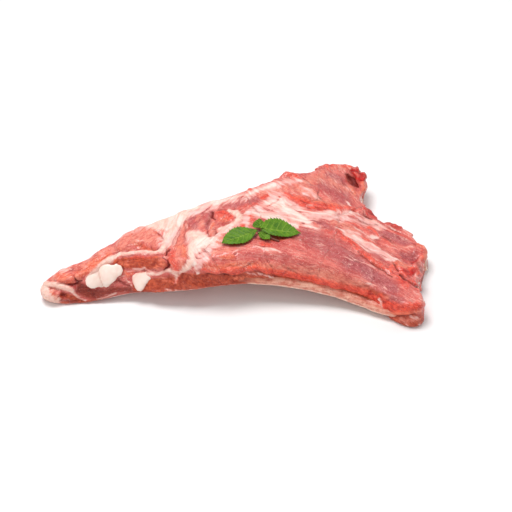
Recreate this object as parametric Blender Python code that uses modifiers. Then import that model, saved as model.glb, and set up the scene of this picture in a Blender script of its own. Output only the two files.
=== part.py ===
"""A raw rack of pork ribs with a sprig of mint on it.

The rack lies bone side down. X runs along the ribs, from the narrow breastbone end at -X to the wide
backbone end at +X. Y runs away from the long edge that shows, and Z is up. The origin is the centre of the
base. The five ribs are stiff arches, so the rack stands on its two ends and is hollow under its middle.
"""

import math

import bmesh
import bpy
import numpy as np
from mathutils import Vector

MM = 0.001

# Driving dimensions, in millimetres. ORIGIN is where the middle of the rack's box lies in these numbers.
ORIGIN = (0.1, 1.9)
ARCH_RISE = 20.0
ARCH_START_X = -128.0
ARCH_END_X = 136.0
ARCH_END_TURN = 0.33
ARCH_FULLNESS = 1.3
FOOT = 2.6
RIB_GAP = 0.35
RIB_PROUD = 0.8
LEAF_THICKNESS = 0.6
LEAF_CLEARANCE = 0.5

# The rack's outline seen from above: x, y, how far the cut wall leans in, and how round it is (0 is a flat
# bevelled cut, 1 a quarter round). It starts at the narrow tip and runs along the edge that shows.
OUTLINE = (
    (-165, -53, 6, 0.8),
    (-158, -62, 8, 0.5),
    (-142, -66, 13, 0.2),
    (-118, -64, 18, 0.0),
    (-85, -62, 19, 0.0),
    (-62, -66, 14, 0.3),
    (-32, -68, 8, 0.8),
    (7, -64, 8, 1.0),
    (42, -61, 9, 1.0),
    (77, -64, 10, 1.0),
    (103, -71, 10, 1.0),
    (122, -80, 10, 1.0),
    (134, -89, 9, 0.8),
    (145, -94, 8, 0.7),
    (153, -91, 7, 0.7),
    (156, -80, 6, 0.7),
    (152, -67, 5, 0.6),
    (156, -47, 5, 0.6),
    (162, -28, 5, 0.6),
    (165, -13, 6, 0.6),
    (158, 3, 6, 0.7),
    (143, 14, 6, 0.8),
    (122, 22, 6, 0.8),
    (114, 38, 6, 0.8),
    (114, 60, 6, 0.8),
    (116, 79, 6, 0.9),
    (112, 91, 6, 0.9),
    (100, 97, 6, 0.9),
    (84, 94, 7, 0.9),
    (65, 80, 7, 0.9),
    (46, 71, 7, 0.9),
    (29, 55, 7, 0.9),
    (-1, 31, 7, 0.9),
    (-32, 14, 7, 0.9),
    (-66, -1, 8, 0.9),
    (-91, -11, 8, 0.9),
    (-116, -23, 8, 0.9),
    (-138, -36, 7, 0.9),
    (-153, -44, 6, 0.9),
)
PERIMETER_POINTS = 116

# The line inside the outline towards which every ring shrinks.
SPINE_START = (-140.0, -48.0)
SPINE_END = (98.0, -4.0)

# Thickness of the meat along X, before its muscles.
THICKNESS_X = (-165, -145, -112, -62, -10, 50, 110, 166)
THICKNESS_MM = (17, 22, 28, 30, 26, 23, 21, 17)

# Muscles and hollows on top: centre x and y, half length, half width, turn in degrees, rise.
RELIEF = (
    ("near_slab", 70, -46, 98, 30, -9, 5.0),
    ("far_slab", 78, 45, 55, 36, 60, 4.5),
    ("middle_ridge", 30, 12, 90, 12, 2, 2.0),
    ("oval_muscle", -84, -24, 26, 14, 14, 3.5),
    ("strip_muscle", -126, -41, 26, 8, 28, 2.5),
    ("corner_lump", 138, -78, 20, 14, -30, 4.5),
    ("gully", -47, -33, 26, 7, 72, -3.5),
    ("cream_fat", -28, -20, 24, 13, 40, 2.5),
    ("far_lump", 92, 84, 18, 9, 15, 4.0),
    ("far_pocket", 101, 76, 9, 6, 120, -6.0),
    ("side_pocket", 147, -25, 10, 9, 0, -5.0),
)

# Each rib's path: x, y, height of its middle above the arched underside, half width, half height.
RIBS = {
    "rib_1": (
        (-84, -66, 9, 9, 8),
        (-78, -53, 8, 9, 8),
        (-62, -51, 8, 8, 7),
        (-38, -54, 7, 6.5, 6),
        (-5, -56.5, 4.5, 6, 6),
        (42, -58, 3.5, 6, 6),
        (77, -61.5, 3.5, 6, 6),
        (103, -69, 4, 6, 6),
        (124, -78, 6, 6, 5.5),
        (150, -85, 8.5, 6, 5),
    ),
    "rib_2": (
        (-110, -63, 14, 16, 10),
        (-108, -46, 13, 15, 9),
        (-95, -37, 10, 10, 7.5),
        (-62, -32, 6, 7, 6),
        (0, -28, 3.5, 6.5, 5.5),
        (60, -30, 3.5, 6.5, 5.5),
        (118, -43, 6, 6.5, 5.5),
        (162, -57, 9, 6.5, 5),
    ),
    "rib_3": (
        (-88, -20, 10, 5, 4.5),
        (-74, -15, 7, 6.5, 5.5),
        (-45, -4, 4, 6.5, 5.5),
        (5, 5, 3.5, 6.5, 5.5),
        (60, 4, 3.5, 6.5, 5.5),
        (120, -8, 6, 6.5, 5.5),
        (170, -22, 9, 6.5, 5),
    ),
    "rib_4": (
        (-18, 12, 9, 5, 4.5),
        (-5, 19, 6, 6.5, 5.5),
        (18, 31, 3.5, 6.5, 5.5),
        (50, 39, 3.5, 6.5, 5.5),
        (92, 35, 6, 6.5, 5.5),
        (122, 31, 9, 6.5, 5),
    ),
    "rib_5": (
        (40, 55, 9, 5, 4.5),
        (50, 61, 6, 6, 5.5),
        (66, 67, 4.5, 6, 5.5),
        (92, 69, 6, 6, 5.5),
        (123, 67, 9, 6, 5),
    ),
}
# Which ends of each rib run out to a cut wall: 0 is the breastbone end, -1 the backbone end.
RIB_CUTS = {"rib_1": (0,), "rib_2": (0, -1), "rib_3": (-1,), "rib_4": (-1,), "rib_5": (-1,)}
RIB_STATIONS = 24
RIB_SIDES = 12

# The rolled lip at the far corner, the flap at the wide end and the knuckle of meat on the near corner:
# x, y, height above the top surface, radius.
LUMPS = {
    "rolled_lip": (
        (76, 82, -6, 5),
        (87, 88, -4, 6),
        (99, 91, -2.5, 6.5),
        (107, 86, -2, 6.5),
        (109, 75, -3, 6.5),
        (108, 60, -7, 5),
    ),
    "side_flap": (
        (146, 4, -7, 5),
        (156, -8, -4, 5),
        (157, -19, -3, 5),
        (152, -31, -4, 5),
        (149, -43, -7, 5),
    ),
}
LUMP_SIDES = 10
LUMP_STATIONS = 12

# The sprig, each leaf by its foot x and y, heading in degrees, length, width, how far its foot and its tip
# lift off the meat, and how far it leans to its right-hand side in degrees.
LEAVES = {
    "leaf_right": (22.5, -29.0, 4, 33, 21, 5.4, 1.2, 8),
    "leaf_left": (15.5, -30.0, 211, 30, 19, 2.4, 0.4, -6),
    "leaf_bud": (19.5, -26.5, 98, 12, 9, 6.4, 5.4, 0),
    "leaf_low": (20.5, -31.6, -56, 10, 7.5, 3.6, 2.0, 0),
}
LEAF_RINGS = 9
LEAF_RIBS = 6
STEM = ((18.6, -29.6, 1.3), (24.0, -32.2, 1.3), (30.0, -35.0, 1.3), (36.0, -38.6, 1.3))
STEM_RADIUS = 0.9


def smooth_curve(points, count, closed=False):
    """Points a steady distance apart on a Catmull-Rom curve through the rows given."""
    rows = np.array(points, float)
    if closed:
        rows = np.vstack([rows[-1], rows, rows[0], rows[1]])
    else:
        rows = np.vstack([2 * rows[0] - rows[1], rows, 2 * rows[-1] - rows[-2]])
    steps = np.linspace(0, 1, 24, endpoint=False)[:, None]
    dense = []
    for a, b, c, d in zip(rows, rows[1:], rows[2:], rows[3:]):
        bend = (2 * a - 5 * b + 4 * c - d) * steps**2 + (3 * b - a - 3 * c + d) * steps**3
        dense.append(0.5 * (2 * b + (c - a) * steps + bend))
    dense = np.vstack(dense + [rows[-2:-1]])
    gaps = np.linalg.norm(np.diff(dense[:, :2], axis=0), axis=1)
    run = np.concatenate([[0], np.cumsum(gaps)])
    places = np.linspace(0, run[-1], count, endpoint=not closed)
    return np.stack([np.interp(places, run, column) for column in dense.T], axis=1)


def arch(x, y):
    """Height of the underside, in millimetres; the arch ends sooner towards the far corner."""
    end = ARCH_END_X - ARCH_END_TURN * np.clip(y, 0, 100)
    share = np.clip((x - ARCH_START_X) / (end - ARCH_START_X), 0, 1)
    return ARCH_RISE * np.sin(math.pi * share) ** ARCH_FULLNESS


def bump(x, y, cx, cy, half_length, half_width, turn, rise):
    """A soft mound, or a hollow where rise is negative."""
    c, s = math.cos(math.radians(turn)), math.sin(math.radians(turn))
    along = ((x - cx) * c + (y - cy) * s) / half_length
    across = ((y - cy) * c - (x - cx) * s) / half_width
    return rise * np.exp(-1.2 * (along**2 + across**2) ** 1.5)


def top_height(x, y):
    """Height of the meat's top surface, in millimetres."""
    height = arch(x, y) + np.interp(x, THICKNESS_X, THICKNESS_MM)
    for _, *mound in RELIEF:
        height = height + bump(x, y, *mound)
    return height


def outline_rows():
    """The outline at even steps, each row with the point of the spine that its rings shrink to.

    The columns are x, y, lean, roundness, spine x and spine y.
    """
    rows = smooth_curve(OUTLINE, PERIMETER_POINTS, closed=True)
    turn = int(np.argmax(rows[:, 0]))
    share = (rows[:, 0] - rows[0, 0]) / (rows[turn, 0] - rows[0, 0])
    share[: turn + 1] = np.maximum.accumulate(share[: turn + 1])
    share[turn:] = np.maximum.accumulate(share[turn:][::-1])[::-1]
    near = np.linspace(0, 1, turn + 1)
    even = np.concatenate([near, np.linspace(1, 0, len(rows) - turn + 1)[1:-1]])
    share = np.clip(0.7 * share + 0.3 * even, 0, 1)[:, None]
    start, end = np.array(SPINE_START), np.array(SPINE_END)
    return np.hstack([rows, start + share * (end - start)])


def wall_ring(rows, share):
    """A ring of the cut wall, from its foot at 0 to the edge of the top surface at 1."""
    edge, lean, roundness, spine = rows[:, :2], rows[:, 2:3], rows[:, 3:4], rows[:, 4:]
    inward = spine - edge
    inward = inward / np.linalg.norm(inward, axis=1, keepdims=True)
    quarter = 1 - math.sqrt(max(0.0, 1 - share**2))
    plan = edge + inward * lean * ((1 - roundness) * share + roundness * quarter)
    brim = edge + inward * lean
    low = arch(*edge.T) + FOOT
    high = top_height(brim[:, 0], brim[:, 1])
    return np.column_stack([plan, low + (high - low) * share])


def disc_rings(rim, rows, shares, height):
    """Rings that fill the inside of rim, each a share of the way from the spine to it."""
    rings = []
    for share in shares:
        plan = rows[:, 4:] + (rim[:, :2] - rows[:, 4:]) * share
        rings.append(np.column_stack([plan, height(*plan.T)]))
    return rings


def mesh_object(name, bm, collection):
    """A smooth-shaded object from a bmesh in millimetres."""
    bmesh.ops.recalc_face_normals(bm, faces=bm.faces)
    bmesh.ops.translate(bm, vec=(-ORIGIN[0], -ORIGIN[1], 0), verts=bm.verts)
    bmesh.ops.scale(bm, vec=(MM, MM, MM), verts=bm.verts)
    mesh = bpy.data.meshes.new(name)
    bm.to_mesh(mesh)
    bm.free()
    mesh.shade_smooth()
    made = bpy.data.objects.new(name, mesh)
    collection.objects.link(made)
    return made


def loft(rings, bm):
    """Closes rings of equal length into one skin, with flat caps on the first and the last."""
    loops = [[bm.verts.new(point) for point in ring] for ring in rings]
    for low, high in zip(loops, loops[1:]):
        for i in range(len(low)):
            j = (i + 1) % len(low)
            bm.faces.new((low[i], low[j], high[j], high[i]))
    bm.faces.new(loops[0][::-1])
    bm.faces.new(loops[-1])
    caps = [face for face in bm.faces if len(face.verts) > 4]
    bmesh.ops.triangulate(bm, faces=caps)
    return bm


def meat_body(collection):
    """The slab of muscle and fat: an arched underside, cut walls and a top with muscles on it."""
    rows = outline_rows()
    foot = wall_ring(rows, 0.0)
    sole = foot[:, :2] + (rows[:, 4:] - foot[:, :2]) * FOOT / np.linalg.norm(
        rows[:, 4:] - foot[:, :2], axis=1, keepdims=True
    )
    under = disc_rings(sole, rows, (0.1, 0.3, 0.5, 0.7, 0.86, 1.0), arch)
    walls = [wall_ring(rows, share) for share in (0.0, 0.22, 0.46, 0.68, 0.86, 0.97)]
    brim = wall_ring(rows, 1.0)
    top = disc_rings(brim, rows, (1.0, 0.9, 0.78, 0.64, 0.5, 0.36, 0.22, 0.1), top_height)
    return mesh_object("meat", loft(under + walls + top, bmesh.new()), collection)


def oval_tube(path, sides, stations, bm, grow=0.0):
    """A closed tube of oval section: path rows are x, y, z, half width, half height."""
    rows = smooth_curve(path, stations)
    rings = []
    for i, row in enumerate(rows):
        ahead = rows[min(i + 1, len(rows) - 1), :3] - rows[max(i - 1, 0), :3]
        along = Vector(ahead).normalized()
        wide = along.cross(Vector((0, 0, 1))).normalized()
        deep = wide.cross(along).normalized()
        centre = Vector(row[:3])
        if i in (0, len(rows) - 1):
            centre += along * grow * (-1 if i == 0 else 1)
        ring = []
        for side in range(sides):
            angle = 2 * math.pi * side / sides
            offset = wide * (row[3] + grow) * math.cos(angle)
            ring.append(centre + offset + deep * (row[4] + grow) * math.sin(angle))
        rings.append(ring)
    return loft(rings, bm)


def rib_path(name):
    """The rib's stations with their true heights."""
    return [(x, y, float(arch(x, y)) + lift, w, h) for x, y, lift, w, h in RIBS[name]]


def wall_plane(x, y):
    """A point on the cut wall nearest to a place in plan, and the wall's outward direction there."""
    rows = outline_rows()
    place = int(np.argmin(np.hypot(rows[:, 0] - x, rows[:, 1] - y)))
    low, high = wall_ring(rows, 0.22), wall_ring(rows, 0.68)
    foot = Vector(low[place])
    beside = Vector(low[(place + 1) % len(rows)]) - Vector(low[place - 1])
    out = beside.cross(Vector(high[place]) - foot).normalized()
    return foot, out if out.dot(foot - Vector((*rows[place, 4:], foot.z))) > 0 else -out


def rib(name, collection):
    """A rib bone with the cartilage on its breastbone end, cut flush with the walls that it reaches."""
    bm = oval_tube(rib_path(name), RIB_SIDES, RIB_STATIONS, bmesh.new())
    for end in RIB_CUTS[name]:
        point, out = wall_plane(*RIBS[name][end][:2])
        geometry = bm.verts[:] + bm.edges[:] + bm.faces[:]
        bmesh.ops.bisect_plane(
            bm, geom=geometry, plane_co=point + out * RIB_PROUD, plane_no=out, clear_outer=True
        )
        bmesh.ops.holes_fill(bm, edges=bm.edges[:], sides=0)
        bmesh.ops.triangulate(bm, faces=[face for face in bm.faces if len(face.verts) > 4])
    return mesh_object(name, bm, collection)


def rib_cutter(name, collection):
    """The rib's bed in the meat, a little larger than the rib all round."""
    bm = oval_tube(rib_path(name), RIB_SIDES, RIB_STATIONS, bmesh.new(), grow=RIB_GAP)
    return mesh_object(name + "_bed", bm, collection)


def lump(name, collection):
    """A fold of meat along an edge, later joined to the slab."""
    path = []
    for x, y, lift, radius in LUMPS[name]:
        path.append((x, y, float(top_height(x, y)) + lift, radius, radius))
    return mesh_object(name, oval_tube(path, LUMP_SIDES, LUMP_STATIONS, bmesh.new()), collection)


def apply_boolean(target, operation, collection, solver="EXACT"):
    """Joins or cuts target with every object of a collection, and then removes them."""
    cut = target.modifiers.new(operation.lower(), "BOOLEAN")
    cut.operation = operation
    cut.solver = solver
    cut.operand_type = "COLLECTION"
    cut.collection = collection
    bpy.context.view_layer.update()
    graph = bpy.context.evaluated_depsgraph_get()
    mesh = bpy.data.meshes.new_from_object(target.evaluated_get(graph))
    target.modifiers.clear()
    target.data = mesh
    for helper in list(collection.objects):
        bpy.data.objects.remove(helper)


def leaf(name, collection):
    """A thin oval leaf, folded a little along its middle and laid over the meat."""
    foot_x, foot_y, heading, length, width, foot_lift, tip_lift, lean = LEAVES[name]
    c, s = math.cos(math.radians(heading)), math.sin(math.radians(heading))
    side = 1 if lean > 0 else -1
    bm = bmesh.new()
    rows = []
    for i in range(LEAF_RINGS):
        along = i / (LEAF_RINGS - 1)
        half = width / 2 * math.sin(math.pi * (0.04 + 0.93 * along**0.85)) ** 0.75
        row = []
        for j in range(LEAF_RIBS + 1):
            across = 2 * j / LEAF_RIBS - 1
            x = foot_x + along * length * c - across * half * s
            y = foot_y + along * length * s + across * half * c
            lift = LEAF_CLEARANCE + foot_lift * (1 - along) ** 3 + tip_lift * along**2
            lift += 0.8 * abs(across) + 0.4 * (1 + math.sin(9 * along + 2.0 * across))
            lift += (1 + side * across) * half * math.tan(math.radians(abs(lean)))
            row.append(bm.verts.new((x, y, float(top_height(x, y)) + lift)))
        rows.append(row)
    for low, high in zip(rows, rows[1:]):
        for j in range(LEAF_RIBS):
            bm.faces.new((low[j], high[j], high[j + 1], low[j + 1]))
    bmesh.ops.triangulate(bm, faces=bm.faces)
    made = mesh_object(name, bm, collection)
    skin = made.modifiers.new("thickness", "SOLIDIFY")
    skin.thickness = LEAF_THICKNESS * MM
    skin.offset = 1.0
    return made


def stem(collection):
    """The short stalk that the four leaves spring from."""
    path = []
    for x, y, lift in STEM:
        path.append((x, y, float(top_height(x, y)) + lift, STEM_RADIUS, STEM_RADIUS))
    return mesh_object("sprig_stem", oval_tube(path, 8, 8, bmesh.new()), collection)


def material(name, colour, roughness):
    """A plain finish for one kind of tissue."""
    made = bpy.data.materials.new(name)
    made.use_nodes = True
    shader = made.node_tree.nodes["Principled BSDF"]
    shader.inputs["Base Color"].default_value = (*colour, 1.0)
    shader.inputs["Roughness"].default_value = roughness
    shader.inputs["Metallic"].default_value = 0.0
    return made


def build():
    """Clears the scene and makes the rack, its ribs and the sprig."""
    for old in list(bpy.data.objects):
        bpy.data.objects.remove(old)
    scene = bpy.context.scene.collection
    rack = bpy.data.collections.new("rack_of_ribs")
    beds = bpy.data.collections.new("rib_beds")
    folds = bpy.data.collections.new("edge_folds")
    for collection in (rack, beds, folds):
        scene.children.link(collection)
    meat = meat_body(rack)
    for name in LUMPS:
        lump(name, folds)
    for name in RIBS:
        rib_cutter(name, beds)
    apply_boolean(meat, "UNION", folds)
    apply_boolean(meat, "DIFFERENCE", beds)
    meat.data.materials.clear()
    meat.data.materials.append(material("raw_meat", (0.60, 0.13, 0.11), 0.35))
    bone = material("bone_and_cartilage", (0.86, 0.68, 0.60), 0.4)
    for name in RIBS:
        rib(name, rack).data.materials.append(bone)
    green = material("mint_leaf", (0.13, 0.28, 0.03), 0.5)
    for name in LEAVES:
        leaf(name, rack).data.materials.append(green)
    stem(rack).data.materials.append(material("mint_stem", (0.20, 0.26, 0.06), 0.5))
    for helpers in (beds, folds):
        bpy.data.collections.remove(helpers)


build()
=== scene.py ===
"""The looks of a raw rack of pork ribs with a sprig of mint on it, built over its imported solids."""

import itertools
import math

import bmesh
import bpy
import numpy as np
from mathutils import Matrix, Vector
from mathutils.bvhtree import BVHTree


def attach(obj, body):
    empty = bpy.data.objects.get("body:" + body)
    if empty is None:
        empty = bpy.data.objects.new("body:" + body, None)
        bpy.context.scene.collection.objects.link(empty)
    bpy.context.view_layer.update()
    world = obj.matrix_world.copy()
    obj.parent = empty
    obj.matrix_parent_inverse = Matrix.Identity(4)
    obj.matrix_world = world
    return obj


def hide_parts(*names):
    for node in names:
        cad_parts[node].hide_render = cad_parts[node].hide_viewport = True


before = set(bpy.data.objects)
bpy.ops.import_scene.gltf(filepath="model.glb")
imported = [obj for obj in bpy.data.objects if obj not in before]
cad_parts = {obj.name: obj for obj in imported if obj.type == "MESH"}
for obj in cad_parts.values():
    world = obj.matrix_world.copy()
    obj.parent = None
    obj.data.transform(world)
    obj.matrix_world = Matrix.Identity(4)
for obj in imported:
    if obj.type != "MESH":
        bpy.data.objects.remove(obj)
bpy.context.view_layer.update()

# Table top, light and camera. A plain pale table carries the rack, lit by one soft lamp from above, a wide
# fill from the near left and a rim from the far right. The camera looks along +Y and 40 degrees down.
AIM = (0.0169, -0.0274, 0.020)
CAMERA_DROP = math.radians(40)
CAMERA_REACH = 1.027
LENS_MM = 85
SENSOR_MM = 36
TABLE_HALF = 3.0
TABLE_WHITE = (0.9, 0.9, 0.9, 1.0)
# Each lamp's width, watts and place.
LAMPS = {
    "key_lamp": (0.6, 13.5, (-0.25, 0.1, 1.3)),
    "fill_lamp": (1.2, 4.0, (-0.8, -0.9, 0.7)),
    "rim_lamp": (0.8, 2.5, (0.9, 0.5, 0.7)),
}
AIR_WHITE = (1.0, 1.0, 1.0, 1.0)
AIR_BRIGHTNESS = 0.42


def new_object(name, data):
    """An object in the scene that holds the data."""
    made = bpy.data.objects.new(name, data)
    bpy.context.scene.collection.objects.link(made)
    return made


def new_material(name, **constants):
    """A material with one Principled shader; constants are its plain sockets."""
    made = bpy.data.materials.new(name)
    made.use_nodes = True
    shader = made.node_tree.nodes["Principled BSDF"]
    for socket, value in constants.items():
        shader.inputs[socket.replace("_", " ")].default_value = value
    return made, made.node_tree, shader


table = bpy.data.meshes.new("table_top")
corners = [(x * TABLE_HALF, y * TABLE_HALF, 0) for x, y in ((-1, -1), (1, -1), (1, 1), (-1, 1))]
table.from_pydata(corners, [], [(0, 1, 2, 3)])
table.materials.append(new_material("white_table", Base_Color=TABLE_WHITE, Roughness=0.75)[0])
new_object("table_top", table)

for name, (width, watts, place) in LAMPS.items():
    lamp = bpy.data.lights.new(name, "AREA")
    lamp.size = width
    lamp.energy = watts
    stand = new_object(name, lamp)
    stand.location = place
    stand.rotation_euler = (Vector(AIM) - Vector(place)).to_track_quat("-Z", "Y").to_euler()

air = bpy.data.worlds.new("studio_air")
air.use_nodes = True
air.node_tree.nodes["Background"].inputs["Color"].default_value = AIR_WHITE
air.node_tree.nodes["Background"].inputs["Strength"].default_value = AIR_BRIGHTNESS
bpy.context.scene.world = air
bpy.context.scene.view_settings.view_transform = "Standard"

camera = new_object("camera", bpy.data.cameras.new("camera"))
camera.data.lens = LENS_MM
camera.data.sensor_width = SENSOR_MM
back = Vector((0, -math.cos(CAMERA_DROP), math.sin(CAMERA_DROP)))
camera.location = Vector(AIM) + back * CAMERA_REACH
camera.rotation_euler = (math.pi / 2 - CAMERA_DROP, 0, 0)
bpy.context.scene.camera = camera

# The slab: the muscle and fat of the flank, about 25 mm thick over an arch of ribs. One knife cut slants
# along its near narrow end, and each muscle, seam of fat and fold is laid on it as a stroke; the shade in
# its creases and crevices is painted on with strokes as well.
MM = 0.001
# The part's origin, as a place in the plan that the tables below share, in millimetres.
ORIGIN = (0.1, 1.9)
# The arched underside: its rise, its reach along the rack, and how much sooner it ends further back.
ARCH_RISE = 20.0
ARCH_START_X = -128.0
ARCH_END_X = 136.0
ARCH_END_TURN = 0.33
FARTHEST_Y = 100
ARCH_FULLNESS = 1.3
FOOT_CHAMFER = 2.6
# The outline: x, y, how far the wall leans in on its way up, and how round its shoulder is, from 0 to 1.
OUTLINE = (
    (-162, -56, 6, 0.8),
    (-157, -63, 8, 0.5),
    (-142, -66, 13, 0.2),
    (-118, -64, 18, 0.0),
    (-85, -62, 19, 0.0),
    (-62, -66, 14, 0.3),
    (-32, -68, 10, 0.9),
    (7, -64, 14, 1.0),
    (42, -61, 16, 1.0),
    (77, -64, 16, 1.0),
    (103, -71, 14, 1.0),
    (122, -80, 11, 1.0),
    (134, -89, 9, 0.8),
    (145, -94, 8, 0.7),
    (153, -91, 7, 0.7),
    (156, -80, 6, 0.7),
    (152, -67, 5, 0.6),
    (156, -47, 5, 0.6),
    (162, -28, 5, 0.6),
    (165, -13, 6, 0.6),
    (158, 3, 6, 0.7),
    (143, 14, 6, 0.8),
    (122, 22, 6, 0.8),
    (114, 38, 6, 0.8),
    (114, 60, 6, 0.8),
    (116, 79, 6, 0.9),
    (112, 91, 6, 0.9),
    (100, 97, 6, 0.9),
    (84, 94, 7, 0.9),
    (65, 80, 7, 0.9),
    (46, 71, 7, 0.9),
    (29, 55, 7, 0.9),
    (-1, 31, 7, 0.9),
    (-32, 14, 7, 0.9),
    (-66, -1, 8, 0.9),
    (-91, -11, 8, 0.9),
    (-116, -25, 8, 0.9),
    (-137, -39, 7, 0.9),
    (-152, -48, 6, 0.9),
)
PERIMETER_POINTS = 440
CURVE_STEPS = 24
# The line inside the slab that its rings shrink to, and how far they follow the outline's x along it.
SPINE_START = (-140.0, -48.0)
SPINE_END = (98.0, -4.0)
SPINE_FOLLOWS_X = 0.7
# How thick the slab is over its arch, at these places along it.
THICKNESS_X = (-165, -145, -112, -62, -10, 50, 110, 166)
THICKNESS_MM = (15, 20.5, 28, 30, 26, 23, 21, 17)
# Broad forms of the top: centre, half length, half width, turn in degrees, and rise.
RELIEF = {
    "near_slab": (70, -46, 98, 30, -9, 5.0),
    "far_slab": (78, 45, 55, 36, 60, 4.5),
    "middle_ridge": (30, 12, 90, 12, 2, 2.0),
    "oval_muscle": (-84, -24, 26, 14, 14, 3.5),
    "strip_muscle": (-126, -41, 26, 8, 28, 2.5),
    "corner_lump": (138, -78, 20, 14, -30, 4.5),
    "gully": (-47, -33, 26, 7, 72, -3.5),
    "cream_fat": (-28, -20, 24, 13, 40, 2.5),
    "far_lump": (92, 84, 18, 9, 15, 4.0),
    "far_pocket": (104.5, 75.5, 7.8, 3.8, 118, -4),
    "side_pocket": (147, -25, 10, 9, 0, -2.5),
    "tip_muscle": (-147, -46, 11, 7, 25, 2.5),
    "tip_gully": (-137.5, -47, 3, 10, 75, -2.2),
}
MOUND_STEEPNESS = 1.2
# Folds and crumbs on the edges, each a round run: x, y, height over the top surface, and radius.
LUMPS = {
    "tip_lobe": ((-156, -53, -9, 5), (-156, -58, -9, 6.5), (-151, -61, -10, 6), (-144, -62, -11, 4)),
    "far_nub": ((40, 60, -4, 4), (45, 64.5, -3.5, 5), (50, 67, -4.5, 4)),
    "lip_crumbs": ((73, 83, -3.5, 4.5), (80, 88, -3, 5), (88, 91.5, -2.5, 4)),
    "side_fringe": (
        (110, 44, -4, 4),
        (113.5, 33, -3.5, 4.5),
        (121, 23, -3.5, 4.5),
        (132, 17, -3.5, 4),
        (143, 11, -3.5, 4.5),
        (152, 5, -4, 4),
    ),
    "rolled_lip": (
        (76, 82, -6, 5),
        (87, 88, -4, 5.5),
        (98, 91, -2.6, 6),
        (107.5, 89.5, -2, 6.5),
        (112, 82, -2.5, 6.5),
        (112, 70, -4, 5.5),
        (109.5, 60, -7, 4.5),
    ),
    "side_flap": (
        (146, 4, -7, 5),
        (156, -8, -4, 5),
        (157, -19, -3, 5),
        (152, -31, -4, 5),
        (149, -43, -7, 5),
    ),
}
# How many rings and sides the slab and its lumps are made of before one skin is drawn round them.
SOLE_RINGS = 34
WALL_RINGS = 18
TOP_RINGS = 60
INNERMOST_SHARE = 0.03
TOP_INNERMOST_SHARE = 0.02
# The wall's rings stand closer together towards the shoulder, as steps of an arc that ends here.
WALL_ARC_END = 0.48 * math.pi
LUMP_RINGS = 40
LUMP_SIDES = 24
SLAB_VOXEL = 1.0 * MM
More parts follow.
